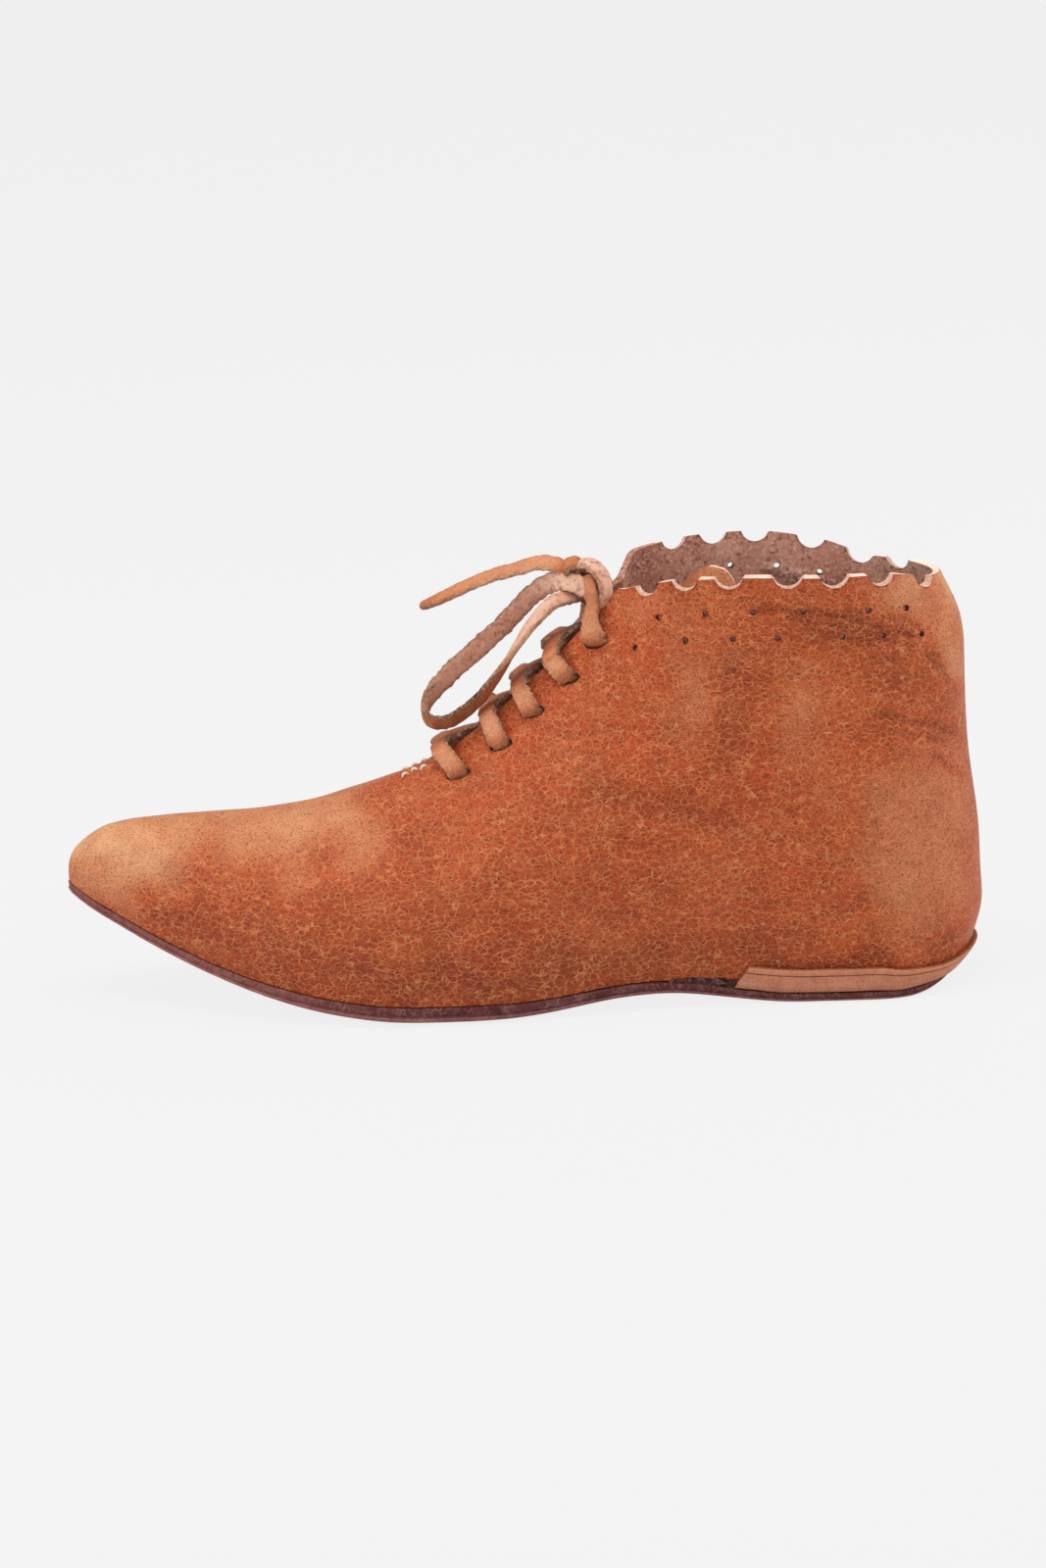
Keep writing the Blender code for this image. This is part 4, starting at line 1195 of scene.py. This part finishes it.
crossingSettings = {
    "rise": [  # from inside the hole to the edge: setback share, lift and lean to the toe in mm, tone: painted shade in the hole and at the edge, a painted highlight between
        (1.10, -4.6, 0.0, 0.1), (1.02, -1.4, 0.0, 0.12), (0.92, 1.1, 0.3, 0.4), (0.76, 2.3, 0.8, 0.58),
        (0.54, 3.0, 1.5, 0.66), (0.32, 3.5, 2.1, 0.6), (0.12, 3.9, 2.4, 0.45),
    ],
    "leans": (1.7, 0.8, 1.0, 1.3),  # how much each pair leans, as a share of the lean above
    "crossing": [  # over the slit: gap share, shift in steps to the next pair, near and far lift, tone: painted shade, deepening as it goes under the other flap
        (0.06, 0.16, 3.4, 2.6, 0.32), (0.3, -0.08, 2.5, 0.8, 0.22), (0.6, -0.36, 0.2, -1.8, 0.15),
        (0.92, -0.62, -3.4, -3.8, 0.1),
    ],
    "under": [(0.3, -0.8, -4.2), (0.8, -1.0, -4.4)],  # setback share, shift in steps, lift in mm; these lie in painted shade under the flap
    "underShade": 0.1,
    "width": 5.9,
    "instep": (-0.66, 0.0, 0.75),  # the way up from the slit
    "flatten": 1.5,  # how much a crossing faces that way
}


def crossingRows(pair, side, s):
    (station, setback), (nextStation, nextSetback) = upperSettings["laceHoles"][pair : pair + 2]
    instep, lean, step = np.array(s["instep"]), s["leans"][pair], station - nextStation
    rows = []
    for share, lift, shift, tone in s["rise"]:
        point, out = flapSpot(station + shift * lean, side, share * setback, lift)
        rows.append([*point, *out, s["width"], tone])
    for gap, shift, nearLift, farLift, tone in s["crossing"]:
        own, out = flapSpot(station + shift * step, side, 0, 0)
        other = flapSpot(station + shift * step, -side, 0, 0)[0]
        lift = nearLift if side == lateral else farLift
        point = own + (other - own) * gap + instep * lift
        rows.append([*point, *unit(instep * s["flatten"] + out * (1 - gap)), s["width"], tone])
    for share, shift, lift in s["under"]:
        point, out = flapSpot(station + shift * step, -side, share * nextSetback, lift)
        rows.append([*point, *out, s["width"], s["underShade"]])
    return rows


topRunSettings = {
    "rise": [  # setback share, lift in mm, width, tone: painted shade in the hole, a painted highlight above it
        (1.12, -4.6, 7.0, 0.1), (1.02, -1.3, 7.2, 0.25), (0.92, 1.2, 7.6, 0.5), (0.76, 2.4, 7.6, 0.6),
        (0.5, 2.9, 6.6, 0.62), (0.22, 3.0, 5.4, 0.6),
    ],
    "intoKnot": [  # station, across (outwards), height, width, tone: the tone is painted shade going into the knot
        (118.0, 8.6, 125.0, 4.4, 0.55), (118.4, 7.2, 129.4, 3.8, 0.5), (118.8, 4.4, 133.4, 3.5, 0.3),
    ],
    "facing": (-0.25, 0.9, 0.35),  # of the grain there, the second outwards
}


def topRunRows(side, s):
    station, setback = upperSettings["laceHoles"][-1]
    rows = []
    for share, lift, width, tone in s["rise"]:
        point, out = flapSpot(station, side, share * setback, lift)
        rows.append([*point, *out, width, tone])
    back, out, up = s["facing"]
    for at, across, height, width, tone in s["intoKnot"]:
        rows.append([*spot(at, side * across, height), back, side * out, up, width, tone])
    return rows


def makeCrossings():
    made = []
    for pair in range(len(upperSettings["laceHoles"]) - 1):
        for side in (lateral, medial):
            rows = crossingRows(pair, side, crossingSettings)
            made.append(thong("laceRun", rows, laceSettings, 50 + pair * 2 + side)[0])
    for side in (lateral, medial):
        made.append(thong("laceRun", topRunRows(side, topRunSettings), laceSettings, 70 + side)[0])
    crossings = joinPieces(made, "laceCrossings")
    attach(crossings, "root")
    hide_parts("lace_crossings")


makeCrossings()
print("lace crossings made")

# knot, loop and free end: station, across, height in mm, then the way the grain faces, width, tone; the
# tone is painted light and shade, dark where a strand goes into the knot or turns away from the lamps

knotSettings = {
    "middle": (119.6, -1.0, 130.0),
    "wrap": [  # suede outside, so the grain faces the knot's middle: station, across, height, width, tone: painted shade low on the wrap, lighter on top
        (124.4, 4.2, 129.6, 5.2, 0.4), (124.2, 1.6, 134.2, 5.4, 0.5), (121.2, -1.6, 137.0, 5.6, 0.64),
        (117.4, -4.4, 136.6, 5.6, 0.66), (114.4, -6.8, 133.0, 5.2, 0.58),
        (113.6, -8.0, 128.6, 4.8, 0.5), (114.8, -7.4, 124.8, 4.4, 0.4), (117.8, -4.8, 122.8, 4.2, 0.3),
    ],
    "ring": [  # a turn of lace that shows beside the wrap, grain outside; its tone is painted shade where it goes into the knot
        (121.0, 1.4, 130.6, 3.6, 0.15), (124.4, 0.2, 132.4, 3.8, 0.25), (126.2, -1.2, 134.8, 4.0, 0.4),
        (125.0, -2.4, 137.2, 4.0, 0.55), (122.4, -1.8, 137.4, 4.0, 0.4), (120.6, 0.2, 134.6, 3.8, 0.15),
    ],
    "ringMiddle": (122.8, 0.4, 134.2),
    "core": (119.4, 0.2, 128.4),
    "coreHalf": (4.6, 4.8, 4.8),
    "uneven": (5.0, 0.12, 85),  # size in mm, share of the radius, seed
}
loopRoute = [
    (114.8, -5.4, 125.4, 0.1, 0.9, -0.3, 5.0, 0.4),
    (118.4, -5.8, 128.6, 0.1, 0.9, -0.35, 5.6, 0.6),
    (122.2, -4.4, 130.6, 0.1, 0.9, -0.35, 6.0, 0.6),
    (126.2, -1.4, 131.2, 0.0, 0.92, -0.3, 6.2, 0.66),
    (130.4, 2.0, 130.2, -0.1, 0.95, -0.2, 6.4, 0.62),
    (135.0, 4.8, 127.2, -0.2, 0.95, -0.05, 6.4, 0.5),
    (140.8, 6.4, 121.6, -0.2, 0.97, 0.0, 6.4, 0.42),
    (148.0, 7.2, 114.0, -0.15, 0.98, 0.05, 6.4, 0.4),
    (156.4, 7.0, 106.6, -0.15, 0.98, 0.0, 6.4, 0.4),
    (164.6, 5.4, 100.0, -0.4, 0.9, -0.05, 6.4, 0.42),
    (170.0, 2.4, 94.4, -0.85, 0.5, -0.1, 6.2, 0.4),
    (171.8, -1.4, 90.0, -0.95, -0.2, -0.25, 5.8, 0.36),
    (168.8, -4.8, 87.6, -0.5, -0.7, -0.5, 5.4, 0.2),
    (162.4, -6.8, 89.2, -0.1, -0.75, -0.65, 5.2, 0.14),
    (154.8, -8.0, 95.4, 0.2, -0.65, -0.7, 5.2, 0.18),
    (148.0, -8.2, 103.8, 0.45, -0.4, -0.75, 5.4, 0.34),
    (142.4, -7.6, 112.0, 0.6, 0.0, -0.8, 5.6, 0.6),
    (136.6, -6.0, 119.6, 0.55, 0.35, -0.8, 5.8, 0.66),
    (130.8, -4.2, 124.8, 0.4, 0.5, -0.75, 5.8, 0.6),
    (125.4, -2.6, 126.4, 0.2, 0.6, -0.8, 5.4, 0.4),
    (120.8, -0.6, 126.4, 0.1, 0.5, -0.85, 4.8, 0.2),
]
endRoute = [
    (121.4, 1.2, 131.4, -0.3, -0.2, 0.92, 4.8, 0.15),
    (124.6, 1.8, 133.2, -0.4, -0.3, 0.86, 5.6, 0.35),
    (128.6, 2.5, 135.4, -0.25, -0.4, 0.87, 6.2, 0.6),
    (132.2, 3.2, 136.3, 0.0, -0.45, 0.88, 6.4, 0.72),
    (136.4, 4.0, 135.9, 0.2, -0.45, 0.87, 6.2, 0.74),
    (141.2, 5.0, 134.3, 0.32, -0.42, 0.86, 6.0, 0.7),
    (149.2, 6.5, 132.0, 0.32, -0.4, 0.86, 5.7, 0.66),
    (157.3, 8.0, 128.6, 0.36, -0.4, 0.85, 5.2, 0.62),
    (165.3, 9.0, 124.8, 0.38, -0.4, 0.85, 4.6, 0.52),
    (169.6, 9.6, 122.9, 0.36, -0.4, 0.85, 3.8, 0.42),
    (171.6, 9.9, 122.1, 0.36, -0.4, 0.85, 2.8, 0.38),
    (172.5, 10.0, 121.8, 0.36, -0.4, 0.85, 1.0, 0.35),
]


def routeRows(route):
    return [[*spot(*row[:3]), *row[3:]] for row in route]


def turnRows(turn, middle, way):
    centre = spot(*middle)
    rows = []
    for station, across, height, width, tone in turn:
        point = spot(station, across, height)
        rows.append([*point, *(unit(point - centre) * way), width, tone])
    return rows


def pathLength(path):
    return float(np.linalg.norm(np.diff(path, axis=0), axis=1).sum() * mm)


def makeKnot(s):
    wrap = thong("knotWrap", turnRows(s["wrap"], s["middle"], -1), laceSettings, 81)[0]
    ring = thong("knotRing", turnRows(s["ring"], s["ringMiddle"], 1), laceSettings, 82)[0]
    middle = spot(*s["core"])
    bpy.ops.mesh.primitive_uv_sphere_add(segments=32, ring_count=20, radius=1, location=middle * mm)
    core = bpy.context.object
    core.scale = Vector(s["coreHalf"]) * mm
    bpy.ops.object.transform_apply(location=True, rotation=True, scale=True)
    places = corners(core) / mm
    moveCorners(core, middle + (places - middle) * (1 + bumps(places, s["uneven"]))[:, None])
    # the core has no tone attribute, so it takes the lace's full dark tone: a dark body standing for
    # painted shade inside the knot
    dress(core, laceGrain)
    smoothShade(core, 60)
    return joinPieces([wrap, ring, core], "laceKnot")


def makeBow():
    knot = makeKnot(knotSettings)
    loop, loopPath = thong("laceLoop", routeRows(loopRoute), laceSettings, 83)
    end, endPath = thong("laceEnd", routeRows(endRoute), laceSettings, 84)
    for piece, node in ((knot, "lace_knot"), (loop, "lace_loop"), (end, "lace_end")):
        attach(piece, "root")
        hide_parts(node)
    for piece, path, farEnd, lay, others in (
        (loop, loopPath, "object", "hanging", [knot]),
        (end, endPath, "bare", "loose", []),
    ):
        print(piece.name, "made,", round(pathLength(path) / mm), "mm long")


makeBow()

# threads: the back seam and the end of the slit

threadSettings = {
    "radius": 0.55,
    "around": 8,
    "along": 8,
    "seam": {"count": 17, "start": 0.12, "reach": 0.82, "rise": 0.03, "across": 1.6, "aside": 0.6},
    "seamLift": [(0, -1.2), (0.25, -0.62), (0.5, -0.5), (0.75, -0.62), (1, -1.2)],  # share of a stitch, mm
    "whip": {"count": 3, "start": 171.6, "step": 3.0, "length": 2.2, "setback": 3.2, "slant": 0.8},
    "whipLift": [(0, -0.6), (0.3, 0.4), (0.7, 0.4), (1, -0.6)],
}


def stitch(points, s):
    fine = smoothRows(points, s["along"])
    run = unit(np.gradient(fine, axis=0))
    side = unit(np.cross(run, np.array([0.13, 0.31, 0.94])))
    other = np.cross(run, side)
    ring = []
    swell = s["radius"] * (0.55 + 0.45 * np.sin(np.linspace(0.12, 0.88, len(fine)) * np.pi))
    for angle in np.linspace(0, 2 * np.pi, s["around"] + 1)[:-1]:
        ring.append(fine + (side * math.cos(angle) + other * math.sin(angle)) * swell[:, None])
    ring.append(ring[0])
    return gridPiece("stitch", np.array(ring), capEnds=True)


def makeThreads(s):
    seam, whip, made = s["seam"], s["whip"], []
    for i in range(seam["count"]):
        share = seam["start"] + seam["reach"] * i / seam["count"]
        points = []
        for k, lift in s["seamLift"]:
            aside = (k - 0.5) * seam["across"] - seam["aside"]
            points.append(upperPoint(0.0, lateral, share + seam["rise"] * k) + np.array([lift, aside, 0]))
        made.append(stitch(points, s))
    seamThread = joinPieces(made, "backSeamThread")
    dress(seamThread, darkThread)
    made = []
    for side in (lateral, medial):
        for i in range(whip["count"]):
            points = []
            for k, lift in s["whipLift"]:
                station = whip["start"] + whip["step"] * i + whip["length"] * k
                setback = whip["setback"] + whip["slant"] * k * (-1) ** i
                points.append(flapSpot(station, side, setback, lift)[0])
            made.append(stitch(points, s))
    slitThread = joinPieces(made, "slitThread")
    dress(slitThread, creamThread)
    for piece in (seamThread, slitThread):
        smoothShade(piece, 60)
        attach(piece, "root")


makeThreads(threadSettings)
print("threads made")
